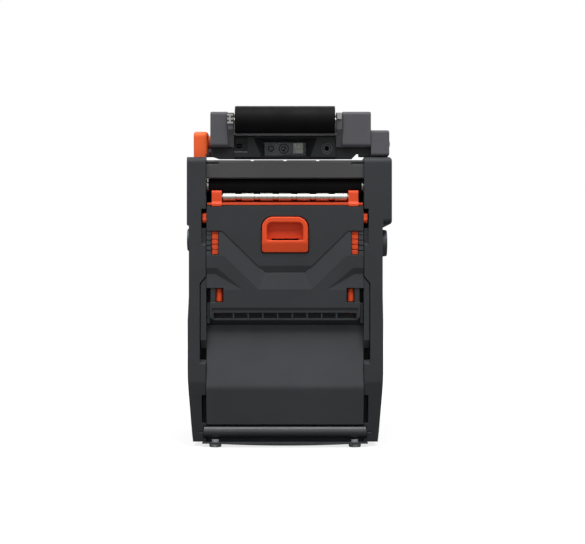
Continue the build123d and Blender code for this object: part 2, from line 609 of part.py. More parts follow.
def door_carrier():
    """The inner half of the door, from the hinge bar up to the nip roller, with two shoulders."""
    back, front = CARRIER_BACK_Y, CARRIER_FRONT_Y
    half, low = DOOR_HALF - 0.2, 13.2
    web = box(-half, half, front, back, low, DOOR_TOP - 2)
    inner = DOOR_HALF + 0.15
    strip_front, strip_low, facet_low = -59.4, 62.5, 57.6
    shoulder_outline = [(inner, 99.0), (SHOULDER_HALF, 95.0), (SHOULDER_HALF, facet_low), (inner, facet_low)]
    facet_back = strip_front + 3.2
    facet = side_prism([(strip_front, strip_low), (facet_back, facet_low), (facet_back, facet_low - 1),
                        (strip_front - 1, facet_low - 1), (strip_front - 1, strip_low)], 40, 60)
    shoulder = front_prism(shoulder_outline, strip_front, back) - facet
    shoulder += box(44.0, inner + 1, front, back, facet_low, 98.0)
    cheek_in, cheek_front, cheek_top = 43.7, -57.6, 84.0
    cheek = box(cheek_in, half, cheek_front, back, COVER_TOP + 1, cheek_top)
    rib_front, rib_top = -52.6, 106.0
    ribs = [box(x - 1, x + 1, rib_front, front + 0.1, cheek_top, rib_top) for x in (-22, 0, 22)]
    foot_outline = [(back, 14.0), (back, ROD_Z + 1.0), (ROD_Y + 2.0, ROD_Z + 1.0),
                    (ROD_Y - 0.5, ROD_Z + 3.0), (ROD_Y - 0.5, 12.9), (front, 12.9), (front, 14.0)]
    foot = side_prism(foot_outline, -half + 2, half - 2)
    foot -= rod_x(ROD_R, -half - 1, half + 1, ROD_Y, ROD_Z)
    carrier = web + both_sides(shoulder) + both_sides(cheek) + ribs + foot
    room_half, room_low, room_high = HANDLE_HALF + 1, HANDLE_BOTTOM - 1.5, HANDLE_TOP + 2
    carrier -= box(room_half, -room_half, front - 1, front + 1.6, room_low, room_high)
    bore_r, bore_half = CARRIAGE_PIVOT_R + RUNNING_FIT, 44.4
    return carrier - rod_x(bore_r, -bore_half, bore_half, CARRIAGE_PIVOT_Y, CARRIAGE_PIVOT_Z)


def lower_cover():
    """The door's lower cover: it slopes out to a kink and back in to the hinge bar."""
    half = DOOR_HALF + 0.1
    top_y = -52.6
    kink_y = FRONT_Y - 0.2
    low_z = 13.1
    low_y = chin_y(low_z) - 0.2
    back_y, wall = CARRIER_FRONT_Y - 0.1, 2.2
    outer = [(top_y, COVER_TOP), (kink_y, KINK_Z), (low_y, low_z), (back_y, low_z), (back_y, COVER_TOP)]
    body = side_prism(outer, -half, half)
    body = rounded(body, Axis.X, 7.0, lambda e: at(e, Y=kink_y))
    inner = [(top_y + wall, COVER_TOP - 4), (kink_y + wall + 0.4, KINK_Z + 1),
             (low_y + wall + 0.2, low_z + 2), (CARRIER_FRONT_Y, low_z + 2), (CARRIER_FRONT_Y, COVER_TOP - 4)]
    return body - side_prism(inner, -half + 2, half - 2)


def ramp_slab(x, z, angle_deg, width, far):
    """A slab whose front rises from the upper face to the proud face across one straight edge."""
    depth = UPPER_FACE_Y - PROUD_FACE_Y
    profile = make_face(Polyline((0, 0), (width, -depth), (far, -depth), (far, 1.0), (0, 1.0), close=True))
    run = extrude(profile, amount=far, both=True)
    turn = math.radians(angle_deg)
    across = Vector(math.sin(turn), 0, -math.cos(turn))
    place = Plane(origin=(x, UPPER_FACE_Y, z), x_dir=across, z_dir=across.cross(Vector(0, 1, 0)))
    return place * run


def door_panel():
    """The door's outer panel with the chevron ramp, the windows and the ribbed liner exit."""
    thick, far = 2.2, 90.0
    foot = [(DOOR_HALF, SILL_WINDOW_LOW), (PANEL_FOOT_HALF, SILL_WINDOW_LOW), (PANEL_FOOT_HALF, PANEL_BOTTOM)]
    slab = front_prism(mirrored([(DOOR_HALF, DOOR_TOP)] + foot), UPPER_FACE_Y, UPPER_FACE_Y + thick)
    slab = rounded(slab, Axis.Y, PANEL_FOOT_ROUND, lambda e: at(e, Z=PANEL_BOTTOM))
    slab = rounded(slab, Axis.Y, PANEL_TOP_ROUND, lambda e: at(e, Z=DOOR_TOP))
    diagonal = ramp_slab(24.0, 113.7, 44.6, CHEVRON_BAND, far)
    proud = ramp_slab(0, CHEVRON_Z, 0, CHEVRON_BAND, far) + diagonal + mirror(diagonal, about=Plane.YZ)
    limit = front_prism(mirrored([(DOOR_HALF, CHEVRON_TOP)] + foot), PROUD_FACE_Y - 1, UPPER_FACE_Y + 0.5)
    limit = rounded(limit, Axis.Y, PANEL_FOOT_ROUND, lambda e: at(e, Z=PANEL_BOTTOM))
    crest = ramp_slab(0, CHEVRON_TOP, 0, 14.4, far)
    region = above_chevron()
    raised = region & box(-60, 60, UPPER_FACE_Y - 0.5, UPPER_FACE_Y + 0.1, 90.0, DOOR_TOP)
    panel = slab + (proud & limit & crest) + raised
    panel -= side_groove() + [centre_dip() & region, lower_step()]
    return panel - panel_windows() - liner_exit() - edge_grooves() + exit_ribs() + window_posts()


def panel_windows():
    """What the panel leaves open: windows for the carriage, the handle and the latch shaft."""
    front, back = PROUD_FACE_Y - 1, CARRIER_FRONT_Y
    upper = box(WINDOW_IN, WINDOW_OUT, front, back, WINDOW_LOW, WINDOW_HIGH)
    lower = box(SILL_WINDOW_IN, DOOR_HALF + 1, front, back, SILL_WINDOW_LOW, SILL_WINDOW_HIGH)
    bracket_way = box(36.3, 43.3, front, back, DOOR_TOP - 0.7, DOOR_TOP + 1)
    windows = both_sides(upper) + both_sides(lower) + both_sides(bracket_way)
    shaft_way = rod_x(LATCH_SHAFT_R + 0.15, -DOOR_HALF - 1, DOOR_HALF + 1, LATCH_Y, LATCH_Z)
    return windows + [handle_outline(0.5, front, back), shaft_way]


def liner_exit():
    """The long slot at the foot of the panel, and the shallower face below it."""
    slot_half, face_half, split = 41.5, 42.0, 75.0
    slot = box(-slot_half, slot_half, PROUD_FACE_Y - 1, UPPER_FACE_Y + 5, split, 78.3)
    below = box(-face_half, face_half, PROUD_FACE_Y - 1, PROUD_FACE_Y + 1.2, PANEL_BOTTOM - 1, split + 0.1)
    return [slot, below]


def above_chevron():
    """A prism over the part of the panel above the chevron."""
    outline = [(DOOR_HALF, DOOR_TOP), (DOOR_HALF, CHEVRON_TOP), (36.5, CHEVRON_TOP), (11.6, CHEVRON_Z)]
    region = front_prism(mirrored(outline), PROUD_FACE_Y - 2, UPPER_FACE_Y + 2)
    return rounded(region, Axis.Y, PANEL_TOP_ROUND, lambda e: at(e, Z=DOOR_TOP))


def side_groove():
    """The fold at each side of the panel: a facet that faces down, then a long way back to the face."""
    high, corner_x, tip_x, tip_z, fold, fade_z = 104.4, 39.4, 26.6, 93.6, 3.5, 91.5
    reach, face = 6, PROUD_FACE_Y
    deep = 1.2
    level = side_prism([(face - reach, high + reach * fold / deep), (face + deep, high - fold),
                        (face, fade_z), (face - reach, fade_z - reach * fold)], 0, 60)
    angle = math.atan2(high - tip_z, corner_x - tip_x)
    across = Vector(math.sin(angle), 0, -math.cos(angle))
    far = 40
    wedge = make_face(Polyline((-reach * fold / deep, -reach), (far, far * deep / fold), (far, -reach), close=True))
    place = Plane(origin=(corner_x, face, high), x_dir=across, z_dir=across.cross(Vector(0, 1, 0)))
    return both_sides(level & (place * extrude(wedge, amount=60, both=True)))


def centre_dip():
    """The facet that faces down just above the middle of the chevron."""
    high, low, depth, face = 105.6, 101.0, 1.2, UPPER_FACE_Y - 0.5
    outline = [(face - 1, high), (face, high), (face + depth, low), (face - 1, low)]
    return side_prism(outline, -20, 20)


def lower_step():
    """The narrow step along the foot of the panel, above the liner exit."""
    high, low, depth, half = 81.3, 79.8, 0.7, 42.5
    outline = [(PROUD_FACE_Y - 1, high), (PROUD_FACE_Y, high), (PROUD_FACE_Y + depth, low),
               (PROUD_FACE_Y + depth, 72.0), (PROUD_FACE_Y - 1, 72.0)]
    return side_prism(outline, -half, half)


def exit_ribs():
    """The short ribs that guide the spent liner out under the panel."""
    half_thick, pitch, count, top = 0.4, 8.55, 8, 78.4
    front, back = PROUD_FACE_Y + 0.9, UPPER_FACE_Y + 1.5
    first = -pitch * (count - 1) / 2
    ribs = []
    for index in range(count):
        x = first + pitch * index
        ribs.append(box(x - half_thick, x + half_thick, front, back, PANEL_BOTTOM, top))
    return ribs


def window_posts():
    """The posts that divide the lower windows."""
    return both_sides(box(40.4, 43.2, PROUD_FACE_Y + 0.7, UPPER_FACE_Y + 2.2, SILL_WINDOW_LOW - 0.5,
                          SILL_WINDOW_HIGH + 0.5))


def edge_grooves():
    """Shallow grooves beside the upper windows, for the thumb."""
    count, pitch, half, depth = 4, 3.0, 0.25, 0.25
    first = (WINDOW_LOW + WINDOW_HIGH) / 2 - pitch * (count - 1) / 2
    front, back = PROUD_FACE_Y - 1, UPPER_FACE_Y + depth
    grooves = []
    for index in range(count):
        z = first + pitch * index
        grooves += both_sides(box(WINDOW_OUT - 0.5, DOOR_HALF + 1, front, back, z - half, z + half))
    return grooves


def handle_outline(grow, y0, y1):
    """A prism over the latch handle's outline: round at the top, nearly square below."""
    half, high, low = HANDLE_HALF + grow, HANDLE_TOP + grow, HANDLE_BOTTOM - grow
    block = box(-half, half, y0, y1, low, high)
    block = rounded(block, Axis.Y, 6.5, lambda e: e.center().Z > high - 1)
    return rounded(block, Axis.Y, 1.4, lambda e: e.center().Z < low + 1)


def latch_handle():
    """The orange pull: a D-shaped ring round a finger recess, over a sloping apron."""
    face, back = -60.8, -52.0
    ring_low = 118.9
    body = handle_outline(0, face, back)
    apron = side_prism([(face - 1, ring_low), (face, ring_low), (face + 1.6, HANDLE_BOTTOM - 1),
                        (face - 1, HANDLE_BOTTOM - 1)], -20, 20)
    body -= apron
    recess = box(-10.4, 10.4, face - 1, face + 5.2, 120.4, 130.7)
    recess = rounded(recess, Axis.Y, 3.2, lambda e: e.center().Z > 129)
    recess = rounded(recess, Axis.Y, 0.8, lambda e: e.center().Z < 122)
    scoop = side_prism([(face + 2.0, 121.6), (face + 5.2, 124.0), (face + 5.2, 120.9), (face + 2.0, 119.4)],
                       -8, 8)
    slit = box(-8.0, 8.0, face + 4.0, back + 1, 120.5, 121.5)
    body = body - recess - scoop - slit
    body = chamfer(body.faces().sort_by(Axis.Y)[0].edges(), 0.5)
    return body - rod_x(LATCH_SHAFT_R, -20, 20, LATCH_Y, LATCH_Z)


def latch_shaft():
    """The steel cross shaft that the handle and both hooks turn with."""
    return rod_x(LATCH_SHAFT_R, -47.6, 47.6, LATCH_Y, LATCH_Z)


def latch_hooks():
    """The orange hooks on the ends of the latch shaft."""
    x0, x1 = 45.75, 47.9
    low, high, tip = 131.8, 135.9, 137.4
    outline = [(-58.6, low), (-58.6, high), (-51.0, high - 0.4), (-50.2, tip), (-48.2, tip),
               (-47.6, low + 0.6), (-54.0, low - 0.6)]
    arm = side_prism(outline, x0, x1)
    eye = rod_x(2.1, x0, x1, LATCH_Y, LATCH_Z)
    return both_sides((eye + arm) - rod_x(LATCH_SHAFT_R, x0 - 1, x1 + 1, LATCH_Y, LATCH_Z))


def nip_carriage():
    """The orange carriage of the nip roller: brackets, tray, finger tabs and lower bars."""
    leg_front, leg_back = -53.6, -51.0
    leg = box(36.9, 43.0, leg_front, leg_back, CARRIAGE_PIVOT_Z - 2.5, 143.0)
    bracket_outline = [(-57.8, 140.3), (-57.8, 141.6), (-56.9, 143.0), (-56.9, NIP_Z + 3.6),
                       (-54.0, NIP_Z + 3.6), (-51.5, NIP_Z + 0.2), (leg_back, 143.0), (leg_back, 140.3)]
    bracket = side_prism(bracket_outline, 36.9, 42.7)
    bracket = rounded(bracket, Axis.X, 1.6, lambda e: at(e, Y=-56.9, Z=NIP_Z + 3.6))
    tab = box(WINDOW_IN + 0.3, WINDOW_OUT - 0.3, -57.6, leg_front + 0.1, WINDOW_LOW + 0.3, WINDOW_HIGH - 0.3)
    for index in range(4):
        z = 115.0 + 3.0 * index
        tab -= box(38, 44, -58.5, -57.1, z - 0.3, z + 0.3)
    bar = rod_z(2.0, 84.9, 92.2, 38.3, -56.2) + box(36.9, 39.7, -56.2, leg_front + 0.1, 85.6, 92.0)
    tray = box(-45.4, 45.4, -57.0, leg_back, 141.0, 142.4)
    wall = box(-37.0, 37.0, leg_back - 1.6, leg_back, 142.0, 143.1)
    pivot = rod_x(CARRIAGE_PIVOT_R, 42.9, 44.2, CARRIAGE_PIVOT_Y, CARRIAGE_PIVOT_Z)
    carriage = both_sides(leg) + both_sides(bracket) + both_sides(tab) + both_sides(bar)
    carriage = tray + wall + carriage + both_sides(pivot)
    return carriage - rod_x(NIP_SHAFT_R + RUNNING_FIT, -50, 50, NIP_Y, NIP_Z)


def nip_roller():
    """The stepped steel roller that pulls the liner down against the platen."""
    pitch, half_wide, half_narrow, count = 10.85, 3.7, 1.3, 7
    narrow_r, groove_r = NIP_R - 0.45, NIP_R - 0.9
    roller = rod_x(groove_r, -36.4, 36.4, NIP_Y, NIP_Z)
    for index in range(count):
        x = pitch * (index - (count - 1) / 2)
        roller += rod_x(NIP_R, x - half_wide, x + half_wide, NIP_Y, NIP_Z)
        middle = x + pitch / 2
        if index < count - 1:
            roller += rod_x(narrow_r, middle - half_narrow, middle + half_narrow, NIP_Y, NIP_Z)
    return roller + rod_x(NIP_SHAFT_R, -42.4, 42.4, NIP_Y, NIP_Z)


def ear(outer, side):
    """One ear of the head frame with its arm back to the hinge, drawn on the right."""
    nose_round = 2.0
    arm_start, knuckle_start = -24.0, -10.0
    front = box(EAR_IN, outer, FRONT_Y, arm_start + 1, EAR_BOTTOM, EAR_TOP)
    front = rounded(front, Axis.X, nose_round, lambda e: e.center().Y < arm_start)
    front = rounded(front, Axis.Z, 0.9, lambda e: e.center().Y < arm_start)
    arm_outline = [(arm_start, EAR_BOTTOM), (arm_start, EAR_TOP), (-6.0, 190.0), (HEAD_Y, HEAD_Z + KNUCKLE_R),
                   (HEAD_Y, HEAD_Z - KNUCKLE_R), (-8.0, EAR_BOTTOM)]
    arm = side_prism(arm_outline, EAR_IN, outer)
    knuckle = rod_x(KNUCKLE_R, EAR_IN, RIGHT_EAR_OUT, HEAD_Y, HEAD_Z)
    bridge = side_prism([(knuckle_start, EAR_BOTTOM + 1), (knuckle_start, 186.0),
                         (HEAD_Y, HEAD_Z + KNUCKLE_R), (HEAD_Y, HEAD_Z - KNUCKLE_R)], outer - 1, RIGHT_EAR_OUT)
    solid = front + arm + knuckle + bridge
    solid -= rod_x(HINGE_PIN_R + RUNNING_FIT, 46.2, 60.0, HEAD_Y, HEAD_Z)
    return mirror(solid, about=Plane.YZ) if side < 0 else solid


def head_frame():
    """The frame of the applicator head: two ears, the cross beam and the roller's bearing blocks."""
    left, right = ear(LEFT_EAR_OUT, -1), ear(RIGHT_EAR_OUT, 1)
    beam = box(-EAR_IN - 1, EAR_IN + 1, -8.0, HEAD_Y + 3, HEAD_Z - 5.0, HEAD_Z + 5.5)
    block_outline = [(-57.0, 174.8), (-59.6, 181.0), (-62.0, 184.6), (-62.0, 194.4), (-40.0, 194.4),
                     (-40.0, 174.8)]
    block = side_prism(block_outline, 29.7, EAR_IN + 0.1)
    block = rounded(block, Axis.X, 1.5, lambda e: e.center().Z > 190)
    under_arm = box(39.8, 46.1, -48.0, HEAD_Y + 10, 170.0, 177.6)
    right -= under_arm
    frame = left + right + beam + both_sides(block)
    frame -= rod_x(APPLICATOR_SHAFT_R + RUNNING_FIT, -EAR_IN, EAR_IN, APPLICATOR_Y, APPLICATOR_Z)
    pin_bore = rod_x(LEVER_PIN_R + RUNNING_FIT, -45.0, -38.0, LEVER_Y, LEVER_Z)
    return frame - pin_bore


def head_top_cover():
    """The crowned cover between the ears, behind the applicator roller."""
    half = EAR_IN - 0.1
    crown = Spline((-39.6, 187.0), (-26.0, 190.0), (-8.2, 186.5))
    rest = Polyline((-8.2, 186.5), (-8.2, 176.5), (-39.6, 176.5), (-39.6, 187.0))
    return extrude(Plane.YZ.offset(-half) * make_face([crown, rest]), amount=2 * half)


def nose_panel():
    """The dark nose under the applicator roller, with the scan recess and two sockets' seats."""
    half, low, high = 29.4, NOSE_BOTTOM, 181.6
    front, back = NOSE_FRONT_Y, NOSE_BACK_Y
    panel = box(-half, half, front, back, low, high)
    panel = rounded(panel, Axis.X, 1.2, lambda e: e.center().Y < front + 1)
    shoulder_top, lip_back = 174.3, -50.6
    lip_outline = [(-43.2, shoulder_top), (-43.2, low + 1.6), (-38.6, low), (38.9, low), (41.9, low + 3.0),
                   (42.8, low + 3.0), (42.8, FRAME_TOP + 0.5), (49.7, FRAME_TOP + 0.5), (49.7, shoulder_top)]
    panel += front_prism(lip_outline, front + 1.6, lip_back)
    return panel - scan_recess(front) - port_recess(front) - jack_recess(front)


def scan_recess(front):
    """The tapered recess in front of the scan window, open right through the nose."""
    depth = 5.4
    outer = Plane.XZ.offset(-front + 0.5) * Polyline((-18.9, 180.4), (19.1, 180.4), (15.0, 168.7),
                                                       (-14.0, 168.7), close=True)
    low = SCAN_LOW - 0.1
    inner = Plane.XZ.offset(-front - depth) * Polyline((SCAN_LEFT, SCAN_HIGH), (SCAN_RIGHT, SCAN_HIGH),
                                                         (SCAN_RIGHT, low), (SCAN_LEFT, low), close=True)
    mouth = loft([make_face(outer), make_face(inner)])
    return mouth + box(SCAN_LEFT, SCAN_RIGHT, front + depth - 0.1, NOSE_BACK_Y + 0.6, SCAN_LOW, SCAN_HIGH)


def port_recess(front):
    """The rectangular recess of the port at the left."""
    return [box(-29.6, -22.0, front - 1, front + 2.0, 171.7, 180.3),
            box(PORT_LEFT, PORT_RIGHT, front - 1, NOSE_BACK_Y + 0.6, PORT_LOW, PORT_HIGH)]


def jack_recess(front):
    """The round seat of the jack at the right."""
    seat = rod_y(JACK_R + 0.8, front - 1, front + 0.6, JACK_X, JACK_Z)
    return [seat, rod_y(JACK_R, front - 1, NOSE_BACK_Y + 0.6, JACK_X, JACK_Z)]


def scan_window():
    """The clear window of the scanner."""
    gap, front, back = 0.1, -51.5, -50.3
    return box(SCAN_LEFT + gap, SCAN_RIGHT - gap, front, back, SCAN_LOW, SCAN_HIGH - gap)


def scan_engine():
    """The scanner behind its window: housing, aimer, lens and light."""
    gap, front, face, back = 0.2, -50.2, -49.4, -40.0
    body = box(SCAN_LEFT + gap, SCAN_RIGHT - gap, face, back, SCAN_LOW + 0.1, SCAN_HIGH - gap)
    aimer = rod_y(1.6, front, face + 0.1, -8.3, 174.3)
    lens = rod_y(2.9, front, face + 0.1, -0.8, 174.4)
    light = box(4.5, 10.6, front, face + 0.1, 171.5, SCAN_HIGH - gap)
    return body + aimer + lens + light


def port_socket():
    """The socket in the rectangular recess."""
    gap, wall, front, floor = 0.1, 0.6, -55.2, -51.0
    x0, x1, z0, z1 = PORT_LEFT + gap, PORT_RIGHT - gap, PORT_LOW + gap, PORT_HIGH - gap
    shell = box(x0, x1, front, NOSE_BACK_Y, z0, z1)
    return shell - box(x0 + wall, x1 - wall, front - 0.8, floor, z0 + wall, z1 - wall)


def jack_socket():
    """The round jack: a sleeve with a bore."""
    bore_r, front, floor = 1.25, -56.3, -51.0
    sleeve = rod_y(JACK_R - 0.05, front, NOSE_BACK_Y, JACK_X, JACK_Z)
    return sleeve - rod_y(bore_r, front - 0.7, floor, JACK_X, JACK_Z)


def head_side_cover():
    """The step on the right end of the head, over the applicator's drive side."""
    out_x, low, high = 60.7, FRAME_TOP + 0.5, 184.5
    step = box(RIGHT_EAR_OUT + 0.1, out_x, -58.8, -14.0, low, high)
    step = rounded(step, Axis.X, 1.6)
    return rounded(step, Axis.Y, 1.2, lambda e: e.center().X > out_x - 1)


def applicator_roller():
    """The black rubber roller that presses the label on."""
    tube = rod_x(APPLICATOR_R, -APPLICATOR_HALF, APPLICATOR_HALF, APPLICATOR_Y, APPLICATOR_Z)
    tube = fillet(tube.edges().filter_by(GeomType.CIRCLE), 0.5)
    return tube - rod_x(APPLICATOR_SHAFT_R, -EAR_IN, EAR_IN, APPLICATOR_Y, APPLICATOR_Z)


def applicator_shaft():
    """The steel shaft of the applicator roller."""
    return rod_x(APPLICATOR_SHAFT_R, -EAR_IN + 0.1, EAR_IN - 0.1, APPLICATOR_Y, APPLICATOR_Z)


def roller_clips():
    """The bright clips on the bearing blocks: a stepped one at the left, a plain one at the right."""
    face, thick, low, pitch, height = -62.0, 0.6, 187.8, 2.2, 1.1
    left = box(-32.4, -31.2, face - thick, face, low, low + 2 * pitch + height)
    for index in range(3):
        z = low + pitch * index
        left += box(-33.4, -29.9, face - thick, face, z, z + height)
    return [left, box(30.1, 32.8, face - thick, face, 190.4, 193.6)]


def head_lever():
    """The orange lever beside the left ear, with its hub in the ear."""
    x0, x1, narrow_x = -53.6, -45.2, -46.5
    outline = [(-53.6, 184.4), (-52.4, 168.0), (-49.6, 160.4), (-42.6, 160.4), (-40.8, 184.4)]
    arm = side_prism(outline, x0, x1)
    arm = rounded(arm, Axis.X, 3.0)
    arm = rounded(arm, Axis.Y, 1.6, lambda e: e.center().Z > 180)
    arm -= box(narrow_x, x1 + 1, -60.0, -30.0, 150.0, FRAME_TOP + 2)
    hub = rod_x(LEVER_HUB_R, x1 - 0.1, -LEFT_EAR_OUT - FIT_GAP, LEVER_Y, LEVER_Z)
    return arm + hub + rod_x(LEVER_PIN_R, x1, -39.0, LEVER_Y, LEVER_Z)


def side_caps():
    """The bright round caps on the outside of the frames."""
    return [silver_cap(-55.8, -1, 7.0, 2.3, 121.2), silver_cap(56.7, 1, 8.2, 3.7, 119.2)]


def silver_cap(x, side, radius, height, z):
    """A cap that stands off one frame, its flank sloping in to a flat face."""
    cap = Cone(radius, radius - 0.5, height)
    cap = fillet(cap.faces().sort_by(Axis.Z)[-1].edges(), 0.4)
    return Pos(x + side * height / 2, -38.0, z) * Rot(0, 90 * side, 0) * cap


def console_sections():
    """Outlines across the console from the back of the body to the end of the grip."""
    steps = [(BACK_Y, 45.0, 118.0, CONSOLE_TOP_Z), (82.0, 38.0, 112.0, 139.5),
             (GRIP_END_Y, 24.0, 104.0, CONSOLE_END_TOP_Z)]
    return [Plane.XZ.offset(-y) * Pos(0, (low + high) / 2) * RectangleRounded(2 * half, high - low, 7.0)
            for y, half, low, high in steps]


def grip_body():
    """The console, the grip and the battery arm as one ring round the finger opening."""
    console = loft(console_sections())
    levels = [(108.0, 17.0, 17.5, GRIP_Y), (80.0, 15.5, 15.5, GRIP_Y + 1.5), (50.0, 15.0, 15.0, GRIP_Y + 1.0),
              (24.0, 16.5, 17.0, GRIP_Y - 0.5)]
    grip = loft([Plane.XY.offset(z) * Pos(0, y) * RectangleRounded(2 * hx, 2 * hy, 11.0)
                 for z, hx, hy, y in levels])
    arm = box(-31.0, 31.0, BACK_Y, GRIP_END_Y - 4, BASE_BOTTOM, ARM_TOP)
    arm = rounded(arm, Axis.Y, 6.0, lambda e: e.center().Z > BASE_BOTTOM + 1)
    arm = rounded(arm, Axis.Z, 6.0, lambda e: e.center().Y > BACK_Y + 5)
    body = console + grip + arm
    body -= battery_room()
    body -= trigger_room()
    for x, y in rear_feet():
        body -= rod_z(FOOT_STEM_R, BASE_BOTTOM - 1, FOOT_SOCKET_TOP, x, y)
    return body


def battery_room():
    """The room for the battery pack, open at the back."""
    half, low, high = BATTERY_HALF + FIT_GAP, BATTERY_LOW - FIT_GAP, BATTERY_HIGH + FIT_GAP
    return box(-half, half, BATTERY_START_Y - 0.4, GRIP_END_Y + 1, low, high)


def battery_pack():
    """The battery with its end cap, which slides in from the back."""
    cap_start, corner = GRIP_END_Y - 4, 2.5
    pack = box(-BATTERY_HALF, BATTERY_HALF, BATTERY_START_Y, cap_start, BATTERY_LOW, BATTERY_HIGH)
    pack = rounded(pack, Axis.Y, corner)
    cap = box(-BATTERY_HALF, BATTERY_HALF, cap_start - 0.1, GRIP_END_Y, BATTERY_LOW, BATTERY_HIGH)
    cap = rounded(cap, Axis.Y, corner)
    cap = chamfer(cap.faces().sort_by(Axis.Y)[-1].edges(), 1.0)
    thumb = box(-8.0, 8.0, GRIP_END_Y - 2.0, GRIP_END_Y + 1, 9.0, 13.0)
    latch_seat = box(-7.2, 7.2, GRIP_END_Y - 3.0, GRIP_END_Y + 1, 16.0, 25.0)
    return pack + cap - thumb - latch_seat


def battery_latch():
    """The sliding latch in the battery's cap."""
    tab = box(-6.9, 6.9, GRIP_END_Y - 2.8, GRIP_END_Y + 0.6, 18.4, 23.2)
    return rounded(tab, Axis.Y, 1.0)


def trigger_room():
    """The slot in the front of the grip for the trigger."""
    return box(-7.4, 7.4, 76.0, 91.5, 82.0, 113.0)


def trigger():
    """The trigger: a curved finger face that pivots under the console."""
    face = Spline((76.6, 109.0), (74.2, 98.0), (77.2, 86.0))
    rest = Polyline((77.2, 86.0), (83.4, 86.0), (84.4, 109.0), (76.6, 109.0))
    blade = extrude(Plane.YZ.offset(-7.0) * make_face([face, rest]), amount=14.0)
    return blade + rod_x(TRIGGER_PIN_R, -8.6, 8.6, TRIGGER_Y, TRIGGER_Z)


def on_console(y):
    """The plane of the console's sloping top at one depth, its normal pointing out."""
    run, fall = GRIP_END_Y - BACK_Y, CONSOLE_TOP_Z - CONSOLE_END_TOP_Z
    slope = math.atan2(fall, run)
    z = CONSOLE_TOP_Z - (y - BACK_Y) * math.tan(slope)
    return Plane(origin=(0, y, z), x_dir=(1, 0, 0), z_dir=(0, math.sin(slope), math.cos(slope)))


def slope_block(y, half_x, half_s, low, high, x=0.0):
    """A block on the console's top, low and high measured along its normal."""
    return on_console(y) * (Pos(x, 0, (low + high) / 2) * Box(2 * half_x, 2 * half_s, high - low))


def display_bezel():
    """The frame of the display on the console."""
    high = 1.6
    frame = slope_block(DISPLAY_Y, DISPLAY_HALF_X, DISPLAY_HALF_S, -DISPLAY_SEAT, high)
    return frame - slope_block(DISPLAY_Y, SCREEN_HALF_X, SCREEN_HALF_S, 0.0, high + 1.0)


def display_window():
    """The clear window of the display."""
    gap, thick = 0.1, 1.0
    return slope_block(DISPLAY_Y, SCREEN_HALF_X - gap, SCREEN_HALF_S - gap, 0.0, thick)


def key(x):
    """One key with its stem in the console."""
    cap_foot, cap_top, stem_foot = 1.3, 2.8, -1.6
    cap = slope_block(KEY_Y, KEY_STEM_X + 1.4, KEY_STEM_S + 1.4, cap_foot, cap_top, x)
    return cap + slope_block(KEY_Y, KEY_STEM_X, KEY_STEM_S, stem_foot, cap_foot + 0.1, x)


def key_well(x):
    """The well of one key in the console."""
    depth, reach = 3.4, 6.0
    return slope_block(KEY_Y, KEY_STEM_X + FIT_GAP, KEY_STEM_S + FIT_GAP, -depth, reach, x)


def grip_shells():
    """The left and the right half of the console and grip, which meet in the middle plane."""
    body = grip_body()
    gap = FIT_GAP / 2
    body -= slope_block(DISPLAY_Y, DISPLAY_HALF_X + gap, DISPLAY_HALF_S + gap, -DISPLAY_SEAT, 9.0)
    for x in KEYS.values():
        body -= key_well(x)
    body -= rod_x(TRIGGER_PIN_R + RUNNING_FIT, -9.0, 9.0, TRIGGER_Y, TRIGGER_Z)
    left = body & box(-60, 0, 0, 140, 0, 200)
    right = body & box(0, 60, 0, 140, 0, 200)
    return left, right


def main():
    """Builds and writes every piece."""
    save("left_side_frame", side_frame(-1))
    save("right_side_frame", side_frame(1))
    save("gear_cover", gear_cover())
    save("base_plate", base_plate())
    save("rubber_feet", rubber_feet())
    save("media_bay", media_bay())
    save("top_cover", top_cover())
    save("rear_housing", rear_housing())
    save("chassis_deck", chassis_deck())
    save("spring_wall", spring_wall())
    save("main_board", main_board())
    save("stepper_motor", stepper_motor())
    save("motor_pinion", motor_pinion())
    save("idler_gear", idler_gear())
    save("platen_gear", platen_gear())
    save("platen_shaft", platen_shaft())
    save("platen_roller", platen_roller())
    save("platen_bushes", platen_bushes())
    save("peel_panel", peel_panel())
    save("printhead", printhead())
    save("printhead_bracket", printhead_bracket())
    save("printhead_springs", head_springs())
    save("head_hinge_pins", head_hinge_pins())
    save("side_caps", side_caps())
    save("left_hub_carrier", hub_carrier(-1))
    save("right_hub_carrier", hub_carrier(1))
    save("carrier_pinion", carrier_pinion())
    save("left_roll_hub", roll_hub(-1))
    save("right_roll_hub", roll_hub(1))
    save("hinge_rod", hinge_rod())
    save("door_carrier", door_carrier())
    save("lower_cover", lower_cover())
    save("door_panel", door_panel())
    save("latch_handle", latch_handle())
    save("latch_shaft", latch_shaft())
    save("latch_hooks", latch_hooks())
    save("nip_carriage", nip_carriage())
    save("nip_roller", nip_roller())
    save("head_frame", head_frame())
    save("head_top_cover", head_top_cover())
    save("nose_panel", nose_panel())
    save("scan_window", scan_window())
    save("scan_engine", scan_engine())
    save("port_socket", port_socket())
    save("jack_socket", jack_socket())
    save("head_side_cover", head_side_cover())
    save("applicator_roller", applicator_roller())
    save("applicator_shaft", applicator_shaft())
    save("roller_clips", roller_clips())
    save("head_lever", head_lever())
    save("battery_pack", battery_pack())
    save("battery_latch", battery_latch())
    save("trigger", trigger())
    save("display_bezel", display_bezel())
    save("display_window", display_window())
    for name, x in KEYS.items():
        save(name, key(x))
    left, right = grip_shells()
    save("left_grip_shell", left)
    save("right_grip_shell", right)


main()
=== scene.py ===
"""Looks of the portable label printer: finishes, small fittings, studio and camera.

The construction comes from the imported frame. This script gives every piece its finish, adds the
fittings that are too fine for the frame, and sets up the picture. Blender's lengths are metres.
The classes of the fittings hold millimetres, drawn from the middle of the label path.
"""

import json
import logging
import math
from collections.abc import Iterable
from dataclasses import dataclass, field
from enum import Enum

